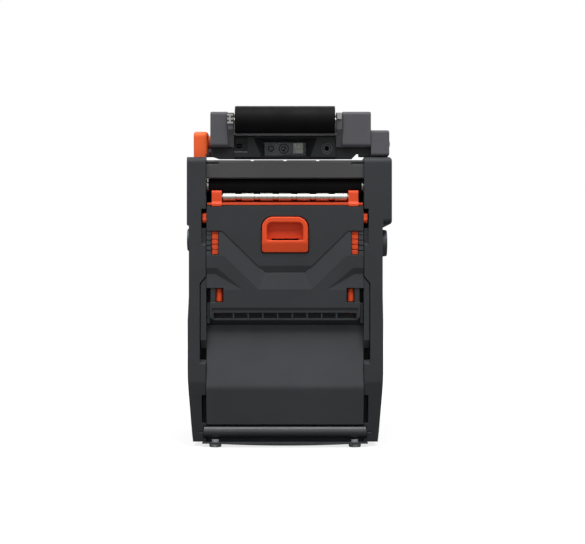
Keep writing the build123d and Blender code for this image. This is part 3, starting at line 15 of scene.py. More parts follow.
import bmesh
import bpy
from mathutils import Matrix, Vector

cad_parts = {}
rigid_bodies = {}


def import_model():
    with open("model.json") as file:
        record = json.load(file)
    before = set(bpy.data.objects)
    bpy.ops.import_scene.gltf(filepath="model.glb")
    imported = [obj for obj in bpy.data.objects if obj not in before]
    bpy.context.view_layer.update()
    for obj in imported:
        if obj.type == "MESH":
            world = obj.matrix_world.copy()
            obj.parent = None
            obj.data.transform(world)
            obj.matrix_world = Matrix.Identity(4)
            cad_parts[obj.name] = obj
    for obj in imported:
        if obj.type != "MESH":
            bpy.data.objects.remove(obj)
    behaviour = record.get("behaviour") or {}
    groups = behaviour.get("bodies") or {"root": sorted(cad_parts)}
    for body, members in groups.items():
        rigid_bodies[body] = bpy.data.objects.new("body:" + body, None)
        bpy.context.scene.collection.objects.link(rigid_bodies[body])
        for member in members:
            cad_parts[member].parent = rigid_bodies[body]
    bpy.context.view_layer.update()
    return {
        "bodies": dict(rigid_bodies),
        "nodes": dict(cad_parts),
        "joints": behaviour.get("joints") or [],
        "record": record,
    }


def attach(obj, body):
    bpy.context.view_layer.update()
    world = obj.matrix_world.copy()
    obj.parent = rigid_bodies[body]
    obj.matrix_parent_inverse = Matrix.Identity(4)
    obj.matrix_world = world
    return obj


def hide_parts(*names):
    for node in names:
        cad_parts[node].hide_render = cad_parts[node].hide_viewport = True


log = logging.getLogger("label_printer")

Mesh = bmesh.types.BMesh
Socket = bpy.types.NodeSocket
Point = tuple[float, float, float]
Colour = tuple[float, float, float, float]
Profile = tuple[tuple[float, float], ...]

MM = 0.001
WHITE = (1.0, 1.0, 1.0, 1.0)

# The photograph's view, as real sizes at the front plane.
FRONT_PLANE_Y = -85.2 * MM
VIEW_WIDTH = 339.3 * MM
CAMERA_DISTANCE = 800 * MM
CAMERA_X = 2.55 * MM
CAMERA_Z = 102.0 * MM
SENSOR_MM = 36.0

# The middle of the label path, which lies beside the frame's origin.
PATH_X = -1.8 * MM
PATH_Y = -25.2 * MM

# The console's sloping top: where it starts, its height there, and how much it falls over its length.
CONSOLE_START_Y = 50.0
CONSOLE_TOP_Z = 151.0
CONSOLE_FALL = 24.0
CONSOLE_LENGTH = 66.0
CONSOLE_SLOPE = math.atan2(CONSOLE_FALL, CONSOLE_LENGTH)

# How many faces make a rounded edge of a fitting.
EDGE_STEPS = 2


class Axis(Enum):
    """A direction along which a round piece or a texture runs."""

    X = 0
    Y = 1
    Z = 2


class Body(Enum):
    """The bodies of the frame that carry pieces made here."""

    ROOT = "root"
    HEAD = "applicator_head"
    BATTERY = "battery"
    MENU_KEY = "menu_key"
    FEED_KEY = "feed_key"
    POWER_KEY = "power_key"


def linear(hex_colour: str) -> Colour:
    """Turns a screen colour into scene-linear values, by the usual screen curve.

    Args:
        hex_colour: six hexadecimal digits, with or without a leading hash.

    Returns:
        Red, green, blue and an alpha of one.
    """
    digits = hex_colour.lstrip("#")
    channels = [int(digits[i : i + 2], 16) / 255 for i in (0, 2, 4)]
    red, green, blue = [c / 12.92 if c <= 0.04045 else ((c + 0.055) / 1.055) ** 2.4 for c in channels]
    return red, green, blue, 1.0


def toned(colour: Colour, gain: float, lift: float = 0.0) -> Colour:
    """A darker or paler version of a colour.

    Args:
        colour: the colour.
        gain: what each channel is multiplied by.
        lift: what is then added to it.

    Returns:
        The new colour, with an alpha of one.
    """
    red, green, blue = [min(1.0, channel * gain + lift) for channel in colour[:3]]
    return red, green, blue, 1.0


def spot(x: float, y: float, z: float) -> Vector:
    """A place given in millimetres from the middle of the label path.

    Args:
        x: to the right in front of the door.
        y: from the door to the grip.
        z: up from the floor.

    Returns:
        The place in the frame, in metres.
    """
    return Vector((PATH_X + x * MM, PATH_Y + y * MM, z * MM))


class Graph:
    """A short way to write a material's nodes."""

    def __init__(self, name: str) -> None:
        """Starts an empty material.

        Args:
            name: the material's name.
        """
        self.material = bpy.data.materials.new(name)
        self.material.use_nodes = True
        self.tree = self.material.node_tree
        self.tree.nodes.clear()
        self.shader = self.add("ShaderNodeBsdfPrincipled")
        output = self.add("ShaderNodeOutputMaterial")
        self.join(self.shader.outputs["BSDF"], output.inputs["Surface"])

    def add(self, kind: str, **settings: object) -> bpy.types.Node:
        """Adds a node.

        Args:
            kind: the node's type.
            settings: properties of the node by name.

        Returns:
            The new node.
        """
        node = self.tree.nodes.new(kind)
        for name, value in settings.items():
            setattr(node, name, value)
        return node

    def join(self, source: Socket, target: Socket) -> None:
        """Links an output, the source, to an input, the target."""
        self.tree.links.new(source, target)

    def feed(self, name: str, source: Socket) -> None:
        """Links an output to the shader's input of the given name."""
        self.join(source, self.shader.inputs[name])

    def fix(self, name: str, value: float | Colour) -> None:
        """Sets the shader's input of the given name to one value."""
        self.shader.inputs[name].default_value = value

    def noise(self, scale: float, detail: float, stretch: Vector | None = None) -> Socket:
        """Noise over the object's own coordinates.

        Args:
            scale: how fine the noise is, in cycles a metre.
            detail: octaves.
            stretch: scale along each axis, where the noise isn't even.

        Returns:
            The noise's value.
        """
        place = self.add("ShaderNodeTexCoord").outputs["Object"]
        if stretch is not None:
            mapping = self.add("ShaderNodeMapping")
            mapping.inputs["Scale"].default_value = stretch
            self.join(place, mapping.inputs["Vector"])
            place = mapping.outputs["Vector"]
        texture = self.add("ShaderNodeTexNoise")
        texture.inputs["Scale"].default_value = scale
        texture.inputs["Detail"].default_value = detail
        self.join(place, texture.inputs["Vector"])
        return texture.outputs["Fac"]

    def ranged(
        self, value: Socket, low: float = 0.0, high: float = 1.0, source: tuple[float, float] = (0.3, 0.7)
    ) -> Socket:
        """Maps a value to another range.

        Args:
            value: what is mapped.
            low: the result at the low end.
            high: the result at the high end.
            source: the value's own range, which for noise is about the default.

        Returns:
            The mapped value.
        """
        node = self.add("ShaderNodeMapRange")
        node.inputs["From Min"].default_value, node.inputs["From Max"].default_value = source
        node.inputs["To Min"].default_value, node.inputs["To Max"].default_value = low, high
        self.join(value, node.inputs["Value"])
        return node.outputs["Result"]

    def times(self, first: Socket, second: Socket) -> Socket:
        """The product of two values."""
        node = self.add("ShaderNodeMath", operation="MULTIPLY")
        self.join(first, node.inputs[0])
        self.join(second, node.inputs[1])
        return node.outputs["Value"]

    def blend(self, factor: Socket, first: Colour | Socket, second: Colour) -> Socket:
        """Mixes two colours.

        Args:
            factor: nought gives the first colour, one the second.
            first: a colour, or the output that gives it.
            second: a colour.

        Returns:
            The mixed colour.
        """
        mix = self.add("ShaderNodeMix", data_type="RGBA")
        self.join(factor, mix.inputs["Factor"])
        if isinstance(first, tuple):
            mix.inputs["A"].default_value = first
        else:
            self.join(first, mix.inputs["A"])
        mix.inputs["B"].default_value = second
        return mix.outputs["Result"]

    def soft_edges(self, radius: float, samples: int = 6) -> Socket:
        """A normal that rounds sharp edges.

        Args:
            radius: the rounding, in metres.
            samples: how many rays look for an edge.

        Returns:
            The rounded normal.
        """
        bevel = self.add("ShaderNodeBevel", samples=samples)
        bevel.inputs["Radius"].default_value = radius
        return bevel.outputs["Normal"]

    def edge_mask(self, radius: float, reach: tuple[float, float] = (0.82, 0.985)) -> Socket:
        """One on the edges and nought on the faces.

        Args:
            radius: how far the edge goes, in metres.
            reach: how much the normals agree where the mask is one and where it is nought.

        Returns:
            The mask.
        """
        geometry = self.add("ShaderNodeNewGeometry")
        product = self.add("ShaderNodeVectorMath", operation="DOT_PRODUCT")
        self.join(self.soft_edges(radius), product.inputs[0])
        self.join(geometry.outputs["Normal"], product.inputs[1])
        return self.ranged(product.outputs["Value"], 1.0, 0.0, reach)

    def relief(self, height: Socket, depth: float, edge: float) -> None:
        """Gives the shader a relief that stands on rounded edges.

        Args:
            height: the relief, from nought to one.
            depth: the relief's height, in metres.
            edge: the edges' rounding, in metres.
        """
        node = self.add("ShaderNodeBump")
        node.inputs["Strength"].default_value = 1.0
        node.inputs["Distance"].default_value = depth
        self.join(height, node.inputs["Height"])
        self.join(self.soft_edges(edge), node.inputs["Normal"])
        self.feed("Normal", node.outputs["Normal"])

    def gloss(self, roughness: float, spread: tuple[float, float], scale: float, detail: float) -> None:
        """Gives the shader an uneven roughness.

        Args:
            roughness: the middle value.
            spread: how far it falls and rises.
            scale: how fine the patches are, in cycles a metre.
            detail: octaves.
        """
        low, high = roughness + spread[0], roughness + spread[1]
        self.feed("Roughness", self.ranged(self.noise(scale, detail), low, high))


@dataclass(frozen=True)
class Plastic:
    """A moulded plastic with a fine texture, a little unevenness and paler worn edges."""

    name: str
    colour: str
    worn: str
    roughness: float = 0.5
    grain: float = 2600.0
    grain_depth: float = 0.00002
    specular: float = 0.14
    edge: float = 0.0004
    wear: float = 0.35
    wear_scale: float = 160.0
    blotch_scale: float = 38.0
    blotch_tone: float = 0.88
    gloss_scale: float = 90.0
    gloss_spread: tuple[float, float] = (-0.05, 0.06)

    def material(self) -> bpy.types.Material:
        """Builds the material.

        Returns:
            The material.
        """
        graph = Graph(self.name)
        base = linear(self.colour)
        blotch = graph.ranged(graph.noise(self.blotch_scale, 3.0))
        uneven = graph.blend(blotch, toned(base, self.blotch_tone), base)
        patchy = graph.ranged(graph.noise(self.wear_scale, 5.0), 0.0, self.wear)
        rubbed = graph.times(graph.edge_mask(self.edge), patchy)
        graph.feed("Base Color", graph.blend(rubbed, uneven, linear(self.worn)))
        graph.gloss(self.roughness, self.gloss_spread, self.gloss_scale, 4.0)
        graph.fix("Specular IOR Level", self.specular)
        graph.relief(graph.noise(self.grain, 2.0), self.grain_depth, self.edge)
        return graph.material


@dataclass(frozen=True)
class Metal:
    """A metal with fine tool marks, close together along one axis."""

    name: str
    colour: str
    roughness: float
    marks: Axis
    mark_scale: float = 4000.0
    mark_stretch: float = 0.02
    mark_depth: float = 0.000004
    mark_tone: float = 0.72
    edge: float = 0.0002
    gloss_scale: float = 70.0
    gloss_spread: tuple[float, float] = (-0.05, 0.1)

    def material(self) -> bpy.types.Material:
        """Builds the material.

        Returns:
            The material.
        """
        graph = Graph(self.name)
        base = linear(self.colour)
        stretch = Vector([self.mark_stretch] * 3)
        stretch[self.marks.value] = 1.0
        marks = graph.noise(self.mark_scale, 2.0, stretch)
        graph.feed("Base Color", graph.blend(graph.ranged(marks), toned(base, self.mark_tone), base))
        graph.fix("Metallic", 1.0)
        graph.gloss(self.roughness, self.gloss_spread, self.gloss_scale, 4.0)
        graph.relief(marks, self.mark_depth, self.edge)
        return graph.material


@dataclass(frozen=True)
class Rubber:
    """A soft dark rubber with a dusty bloom."""

    name: str
    colour: str
    roughness: float = 0.6
    specular: float = 0.08
    grain: float = 1500.0
    grain_depth: float = 0.000015
    edge: float = 0.0004
    bloom_gain: float = 1.7
    bloom_lift: float = 0.004
    bloom_share: float = 0.5
    bloom_scale: float = 55.0
    gloss_scale: float = 120.0
    gloss_spread: tuple[float, float] = (-0.06, 0.08)

    def material(self) -> bpy.types.Material:
        """Builds the material.

        Returns:
            The material.
        """
        graph = Graph(self.name)
        base = linear(self.colour)
        dust = graph.ranged(graph.noise(self.bloom_scale, 5.0), 0.0, self.bloom_share)
        graph.feed("Base Color", graph.blend(dust, base, toned(base, self.bloom_gain, self.bloom_lift)))
        graph.gloss(self.roughness, self.gloss_spread, self.gloss_scale, 3.0)
        graph.fix("Specular IOR Level", self.specular)
        graph.relief(graph.noise(self.grain, 3.0), self.grain_depth, self.edge)
        return graph.material


@dataclass(frozen=True)
class Glass:
    """A window or a lens with faint smears."""

    name: str
    colour: str
    clear: float = 0.0
    roughness: float = 0.08
    bending: float = 1.3
    film_gain: float = 1.3
    film_lift: float = 0.002
    smear_scale: float = 60.0
    gloss_scale: float = 35.0
    gloss_spread: tuple[float, float] = (0.0, 0.03)

    def material(self) -> bpy.types.Material:
        """Builds the material.

        Returns:
            The material.
        """
        graph = Graph(self.name)
        base = linear(self.colour)
        smear = graph.ranged(graph.noise(self.smear_scale, 5.0))
        graph.feed("Base Color", graph.blend(smear, base, toned(base, self.film_gain, self.film_lift)))
        graph.gloss(self.roughness, self.gloss_spread, self.gloss_scale, 5.0)
        graph.fix("Transmission Weight", self.clear)
        graph.fix("IOR", self.bending)
        return graph.material


Finish = Plastic | Metal | Rubber | Glass

# The finish of each slot of the record.
FINISHES: dict[str, Finish] = {
    "charcoal_body": Plastic("charcoal body plastic", "#35373a", "#6a6c6e"),
    "grey_cover": Plastic("grey cover plastic", "#404245", "#717375"),
    "slate_head": Plastic("slate head plastic", "#56565a", "#85858a"),
    "black_inner": Plastic("black inner plastic", "#1b1c1e", "#3a3b3d", roughness=0.55, specular=0.2),
    "grey_panel": Plastic("grey panel plastic", "#4a4a4b", "#9a9a9b", roughness=0.4),
    "orange_parts": Plastic(
        "orange plastic", "#e4512b", "#ff9a78", roughness=0.38, grain_depth=0.000008, wear=0.25
    ),
    "steel_bright": Metal("turned steel", "#c9c7c2", 0.26, Axis.X),
    "silver_cap": Metal("satin aluminium", "#4c4e51", 0.45, Axis.Z),
    "black_rubber": Rubber("black roller rubber", "#101011", 0.5, 0.04),
    "foot_rubber": Rubber("grey foot rubber", "#8a8b8d"),
    "gear_plastic": Plastic("pale gear plastic", "#c9c6ba", "#f2efe6", roughness=0.42),
    "board_green": Plastic("green board lacquer", "#1f5a3c", "#4f8a66", roughness=0.3),
    "window_glass": Glass("clear window", "#e6e8ea", 1.0, 0.0, 1.1),
    "head_ceramic": Plastic("printhead glaze", "#bdbbb4", "#f0eee8", roughness=0.25),
    "key_grey": Rubber("soft key rubber", "#6a6c6e"),
}

# Finishes of small fittings, and the slot of the record that each belongs to.
LOOKS: dict[str, tuple[str, Finish]] = {
    "bar_black": (
        "charcoal_body",
        Plastic("glossy hinge bar", "#323437", "#7a7c7e", roughness=0.34, grain=900.0,
                grain_depth=0.000004, specular=0.45),
    ),
    # The orange plastic painted brighter: painted light for the lever's strongly lit faces.
    "lever_orange_painted_light": (
        "orange_parts",
        Plastic("lever plastic painted brighter", "#ff6c38", "#ffa27c", roughness=0.36, wear=0.25),
    ),
    "clip_steel": ("steel_bright", Metal("pressed clip", "#8c8c8a", 0.36, Axis.Y)),
    "roller_steel": ("steel_bright", Metal("ground steel", "#c4c2bc", 0.24, Axis.X)),
    "socket_grey": ("black_inner", Plastic("socket trim", "#4a4b4e", "#77787a", roughness=0.4)),
    "steel_dark": ("steel_bright", Metal("blackened steel", "#2b2c2e", 0.4, Axis.X)),
    "screw_dark": ("steel_bright", Metal("blackened screw", "#55575a", 0.38, Axis.Y)),
    "ring_black": ("black_inner", Plastic("black lens ring", "#0d0d0e", "#1a1a1b", roughness=0.6)),
    "engine_grey": ("black_inner", Plastic("scan engine housing", "#606164", "#85868a", roughness=0.5)),
    # Pale grey: the roller guard's own trim colour, and under the port a painted highlight.
    "grey_trim_and_highlight": ("slate_head", Plastic("pale grey trim and painted highlight", "#76777a", "#a2a3a4", roughness=0.35)),
    "light_warm": ("head_ceramic", Plastic("light diffuser", "#a0a197", "#c9cac3", roughness=0.35)),
    "lens_dark": ("window_glass", Glass("lens glass", "#101418", 0.0, 0.05, 1.5)),
    "contact_gold": ("steel_bright", Metal("gilded contact", "#c9a24a", 0.3, Axis.Y)),
    "mark_pale": ("head_ceramic", Plastic("printed mark", "#d8d8d4", "#f2f2f0", roughness=0.45)),
    "screen_dark": ("black_inner", Plastic("dark screen", "#12181a", "#20282a", roughness=0.3)),
    "grip_rubber": ("black_rubber", Rubber("grip rubber", "#26272a", 0.6, 0.06)),
}

# Pieces of the frame whose look differs from the rest of their slot.
NODE_LOOKS = {
    "hinge_rod": "bar_black",
    # The lever's brighter orange is painted light, not a different plastic.
    "latch_shaft": "steel_dark",
    "head_lever": "lever_orange_painted_light",
    "roller_clips": "clip_steel",
    "nip_roller": "roller_steel",
}


@dataclass
class Finishes:
    """The finishes as materials, made once and handed out by slot name."""

    made: dict[str, bpy.types.Material] = field(default_factory=dict)

    def get(self, slot: str) -> bpy.types.Material:
        """The material of one slot or small fitting's look.

        Args:
            slot: the slot's name in the record, or a name in LOOKS.

        Returns:
            The material.
        """
        if slot not in self.made:
            finish = LOOKS[slot][1] if slot in LOOKS else FINISHES[slot]
            self.made[slot] = finish.material()
        return self.made[slot]

    def dress_frame(self, frame: dict) -> None:
        """Gives every piece of the frame its finish.
        """
        slots = {row["node"]: row["material_slot"] for row in frame["record"]["subparts"]}
        for name, piece in frame["nodes"].items():
            look = NODE_LOOKS.get(name, slots[name])
            piece.data.materials.clear()
            piece.data.materials.append(self.get(look))
            log.info("dressed %s in %s", name, look)


@dataclass
class Workshop:
    """Turns meshes into small pieces and puts them on the frame's bodies."""

    finishes: Finishes

    def fit(self, name: str, mesh: Mesh, look: str, body: Body) -> bpy.types.Object:
        """Turns a mesh into a piece that rides on a body.

        Args:
            name: the piece's name.
            mesh: its form, which is used up.
            look: a slot's name, or a name in LOOKS.
            body: the body that carries it.

        Returns:
            The piece.
        """
        data = bpy.data.meshes.new(name)
        bmesh.ops.recalc_face_normals(mesh, faces=mesh.faces)
        mesh.to_mesh(data)
        mesh.free()
        piece = bpy.data.objects.new(name, data)
        bpy.context.scene.collection.objects.link(piece)
        data.materials.append(self.finishes.get(look))
        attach(piece, body.value)
        log.info("made %s on %s", name, body.value)
        return piece


def rounded(mesh: Mesh, radius: float) -> None:
    """Rounds all edges of a mesh by a radius in metres."""
    bmesh.ops.bevel(
        mesh, geom=mesh.edges[:], offset=radius, segments=EDGE_STEPS, profile=0.5, affect="EDGES"
    )


@dataclass(frozen=True)
class Bar:
    """A block between two corners, in drawing millimetres, with the radius of its edges."""

    low: Point
    high: Point
    edge: float = 0.0

    def mesh(self) -> Mesh:
        """Builds the block.

        Returns:
            The mesh.
        """
        low, high = spot(*self.low), spot(*self.high)
        size, middle = high - low, (high + low) / 2
        mesh = bmesh.new()
        bmesh.ops.create_cube(mesh, size=1.0)
        for vertex in mesh.verts:
            vertex.co = Vector([vertex.co[i] * size[i] + middle[i] for i in range(3)])
        if self.edge > 0:
            rounded(mesh, self.edge * MM)
        return mesh

    def moved(self, x: float = 0.0, z: float = 0.0) -> "Bar":
        """A copy further to the right and up.

        Args:
            x: how far to the right.
            z: how far up.

        Returns:
            The copy.
        """
        low_x, low_y, low_z = self.low
        high_x, high_y, high_z = self.high
        return Bar((low_x + x, low_y, low_z + z), (high_x + x, high_y, high_z + z), self.edge)


def merged(parts: list[Mesh]) -> Mesh:
    """Joins several meshes into one.

    Args:
        parts: the meshes, which are used up.

    Returns:
        The joined mesh.
    """
    whole = bmesh.new()
    for part in parts:
        data = bpy.data.meshes.new("part")
        part.to_mesh(data)
        part.free()
        whole.from_mesh(data)
        bpy.data.meshes.remove(data)
    return whole


def bars(parts: Iterable[Bar]) -> Mesh:
    """Joins several blocks into one mesh."""
    return merged([part.mesh() for part in parts])


def turns(steps: int) -> list[float]:
    """The angles of points that divide a circle evenly."""
    return [2 * math.pi * step / steps for step in range(steps)]


def directions(axis: Axis) -> list[Vector]:
    """The direction of an axis and the two across it."""
    places = [(axis.value + shift) % 3 for shift in range(3)]
    return [Vector([float(i == place) for i in range(3)]) for place in places]


def ring_of(mesh: Mesh, centre: Vector, across: Vector, third: Vector, radii: list[float]) -> list:
    """Adds a ring of vertices.

    Args:
        mesh: the mesh that takes them.
        centre: the ring's middle.
        across: the direction of the first vertex.
        third: the direction a quarter turn further.
        radii: how far each vertex lies from the middle.

    Returns:
        The vertices.
    """
    ring = []
    for turn, radius in zip(turns(len(radii)), radii):
        ring.append(mesh.verts.new(centre + (across * math.cos(turn) + third * math.sin(turn)) * radius))
    return ring


def skin(mesh: Mesh, rings: list[list]) -> None:
    """Fills the bands between rings, of which any may be a point.

    Args:
        mesh: the mesh that the rings are in.
        rings: each ring's vertices, in order.
    """
    for first, second in zip(rings, rings[1:]):
        count = max(len(first), len(second))
        for step in range(count):
            after = (step + 1) % count
            low = [first[step % len(first)], first[after % len(first)]]
            high = [second[after % len(second)], second[step % len(second)]]
            corners = list(dict.fromkeys(low + high))
            if len(corners) > 2:
                mesh.faces.new(corners)


def close_ends(mesh: Mesh, rings: list[list]) -> None:
    """Closes the first and the last ring with a face each."""
    for ring in (rings[0], rings[-1]):
        mesh.faces.new(ring)


def smooth(mesh: Mesh) -> None:
    """Shades the faces made so far as one curved surface."""
    for face in mesh.faces:
        face.smooth = True


def turned(profile: Profile, centre: Vector, steps: int = 40) -> Mesh:
    """A round piece turned about an axis that runs from front to back.

    Args:
        profile: radius and distance along the axis, in millimetres, from one end to the other.
        centre: where the axis starts.
        steps: how many faces go round.

    Returns:
        The mesh.
    """
    mesh = bmesh.new()
    along, across, third = directions(Axis.Y)
    rings = []
    for radius, distance in profile:
        middle = centre + along * (distance * MM)
        if radius > 0:
            rings.append(ring_of(mesh, middle, across, third, [radius * MM] * steps))
        else:
            rings.append([mesh.verts.new(middle)])
    skin(mesh, rings)
    smooth(mesh)
    return mesh


def tube(path: list[Vector], radius: float, steps: int) -> Mesh:
    """A round bar along a path, closed at both ends.

    Args:
        path: the points of its middle line.
        radius: its radius, in millimetres.
        steps: how many faces go round.

    Returns:
        The mesh.
    """
    mesh = bmesh.new()
    steep = 0.9
    rings = []
    for index, point in enumerate(path):
        before, after = path[max(index - 1, 0)], path[min(index + 1, len(path) - 1)]
        along = (after - before).normalized()
        helper = Vector((0, 0, 1)) if abs(along.z) < steep else Vector((1, 0, 0))
        side = along.cross(helper).normalized()
        rings.append(ring_of(mesh, point, side, side.cross(along), [radius * MM] * steps))
    skin(mesh, rings)
    smooth(mesh)
    close_ends(mesh, rings)
    return mesh


@dataclass(frozen=True)
class Ring:
    """A flat ring round a lens: its radii, and how far it lies behind the scan engine's front."""

    outer: float
    inner: float
    sunk: float = 0.0


@dataclass(frozen=True)
class Lens:
    """A bulging lens: its radius, and how far its crown lies behind the scan engine's front."""

    radius: float
    sunk: float


@dataclass
class ScannerDetails:
    """What shows behind the scan window: the aimer, the camera and the light."""

    workshop: Workshop
    front_y: float = -50.2
    eye_z: float = 174.4
    housing: tuple[Bar, ...] = (
        Bar((-12.2, -49.2, 170.1), (12.3, -40.0, 178.0), 0.3),
        Bar((-12.0, -49.9, 170.3), (-11.3, -49.2, 177.8), 0.1),
        Bar((-4.6, -49.7, 170.6), (2.9, -49.2, 177.6), 0.3),
    )
    aimer_x: float = -8.3
    aimer_ring: Ring = Ring(1.7, 1.2)
    aimer_lens: Lens = Lens(1.2, 0.25)
    camera_x: float = -0.8
    camera_ring: Ring = Ring(2.95, 2.45)
    camera_barrel: Ring = Ring(2.45, 1.5, 0.3)
    camera_inner_ring: Ring = Ring(1.55, 1.15, 0.15)
    camera_lens: Lens = Lens(1.3, 0.3)
    ring_edge: float = 0.15
    ring_depth: float = 1.2
    lens_bulge: float = 0.45
    lens_bands: int = 6
    light: Bar = Bar((4.5, -50.25, 171.5), (10.6, -49.0, 177.8), 0.12)
    light_rows: int = 3
    light_gap: float = 0.22
    pane_depth: float = 0.3

    def build(self) -> None:
        """Makes the pieces and puts them in place."""
        pieces = [
            ("engine_housing", bars(self.housing), "engine_grey"),
            ("aimer_ring", self.ring(self.aimer_x, self.aimer_ring), "ring_black"),
            ("aimer_lens", self.dome(self.aimer_x, self.aimer_lens), "engine_grey"),
            ("camera_ring", self.ring(self.camera_x, self.camera_ring), "ring_black"),
            ("camera_barrel", self.ring(self.camera_x, self.camera_barrel), "engine_grey"),
            ("camera_inner_ring", self.ring(self.camera_x, self.camera_inner_ring), "ring_black"),
            ("camera_lens", self.dome(self.camera_x, self.camera_lens), "lens_dark"),
            ("light_diffuser", self.diffuser(), "light_warm"),
        ]
        for name, mesh, look in pieces:
            piece = self.workshop.fit(name, mesh, look, Body.HEAD)
            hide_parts("scan_engine")

    def ring(self, x: float, size: Ring) -> Mesh:
        """A ring round a lens.

        Args:
            x: where its middle lies.
            size: its radii and depth.

        Returns:
            The mesh.
        """
        edge, depth = self.ring_edge, self.ring_depth
        profile = (
            (size.outer, depth), (size.outer, edge), (size.outer - edge, 0.0),
            (size.inner + edge, 0.0), (size.inner, edge), (size.inner, depth),
        )
        return turned(profile, spot(x, self.front_y + size.sunk, self.eye_z))

    def dome(self, x: float, lens: Lens) -> Mesh:
        """A lens that bulges to the front.

        Args:
            x: where its middle lies.
            lens: its radius and place.

        Returns:
            The mesh.
        """
        profile = []
        for step in range(self.lens_bands + 1):
            turn = math.pi / 2 * step / self.lens_bands
            profile.append((lens.radius * math.sin(turn), self.lens_bulge * (1 - math.cos(turn))))
        return turned(tuple(profile), spot(x, self.front_y + lens.sunk, self.eye_z))

    def diffuser(self) -> Mesh:
        """The light's window, divided into small panes.

        Returns:
            The mesh.
        """
        (low_x, low_y, low_z), (high_x, high_y, high_z) = self.light.low, self.light.high
        gap, rows = self.light_gap, self.light_rows
        wide, tall = (high_x - low_x) / rows, (high_z - low_z) / rows
        back_y = low_y + self.pane_depth
        panes = [Bar((low_x + gap, back_y, low_z + gap), (high_x - gap, high_y, high_z - gap))]
        first = Bar((low_x + gap, low_y, low_z + gap), (low_x + wide - gap, high_y, low_z + tall - gap),
                    self.light.edge)
        for column in range(rows):
            for row in range(rows):
                panes.append(first.moved(wide * column, tall * row))
        return bars(panes)


@dataclass
class SocketDetails:
    """The insides and lips of the rectangular port and of the round jack. The pale strip under the port
    is a painted highlight along its lit ledge.
    """

    workshop: Workshop
    tongue: Bar = Bar((-27.9, -54.6, 175.15), (-25.7, -51.1, 175.75), 0.1)
    pin: Bar = Bar((0.0, -54.7, 175.05), (0.22, -51.2, 175.2))
    pin_places: tuple[float, ...] = (-27.6, -27.0, -26.4, -25.95)
    # A thin pale strip under the port: its paleness is a painted highlight of the lit ledge.
    highlight_lip: Bar = Bar((-29.5, -57.02, 171.72), (-22.1, -55.3, 172.1), 0.08)
    shield: Bar = Bar((-28.95, -55.35, 177.2), (-24.65, -54.9, 177.45), 0.05)
    shield_drop: float = 3.75
    jack_x: float = 24.4
    jack_z: float = 173.9
    ring_y: float = -56.55
    ring: Profile = ((2.3, 1.2), (2.3, 0.15), (2.15, 0.0), (1.6, 0.0), (1.45, 0.2), (1.45, 1.2))
    contact_y: float = -55.4
    contact: Profile = ((0.0, 0.0), (0.3, 0.12), (0.45, 0.4), (0.45, 4.0))
    contact_steps: int = 16
    collar_y: float = -57.04
    collar: Profile = ((3.15, 0.5), (3.15, 0.1), (3.0, 0.0), (2.75, 0.0), (2.65, 0.5))

    def build(self) -> None:
        """Makes the pieces and puts them in place."""
        contact = turned(self.contact, self.jack(self.contact_y), self.contact_steps)
        pieces = [
            ("port_tongue", self.tongue.mesh(), "black_inner"),
            ("port_pins", bars([self.pin.moved(x) for x in self.pin_places]), "steel_dark"),
            # The port's lower lip is pale grey as a painted highlight.
            ("port_lip_highlight", self.highlight_lip.mesh(), "grey_trim_and_highlight"),
            ("port_shield", bars([self.shield, self.shield.moved(z=-self.shield_drop)]), "socket_grey"),
            ("jack_ring", turned(self.ring, self.jack(self.ring_y)), "socket_grey"),
            ("jack_contact", contact, "steel_dark"),
            ("jack_collar", turned(self.collar, self.jack(self.collar_y)), "slate_head"),
        ]
        for name, mesh, look in pieces:
            self.workshop.fit(name, mesh, look, Body.HEAD)

    def jack(self, y: float) -> Vector:
        """A place on the middle line of the round jack."""
        return spot(self.jack_x, y, self.jack_z)


@dataclass
class HeadDetails:
    """The guard wire under the applicator roller and the gasket round the scan window."""

    workshop: Workshop
    guard_half: float = 30.2
    guard_y: float = -60.3
    guard_z: float = 182.0
    guard_r: float = 0.36
    guard_steps: int = 12
    gasket: tuple[Bar, ...] = (
        Bar((-12.9, -51.75, 169.5), (13.0, -51.25, 170.15), 0.1),
        Bar((-12.9, -51.75, 178.0), (13.0, -51.25, 178.5), 0.1),
        Bar((-12.9, -51.75, 169.9), (-12.25, -51.25, 178.2), 0.1),
        Bar((12.35, -51.75, 169.9), (13.0, -51.25, 178.2), 0.1),
    )

    def build(self) -> None:
        """Makes the pieces and puts them in place."""
        path = [spot(x, self.guard_y, self.guard_z) for x in (-self.guard_half, 0.0, self.guard_half)]
        guard = tube(path, self.guard_r, self.guard_steps)
        self.workshop.fit("roller_guard", guard, "grey_trim_and_highlight", Body.HEAD)
        self.workshop.fit("window_gasket", bars(self.gasket), "black_rubber", Body.HEAD)


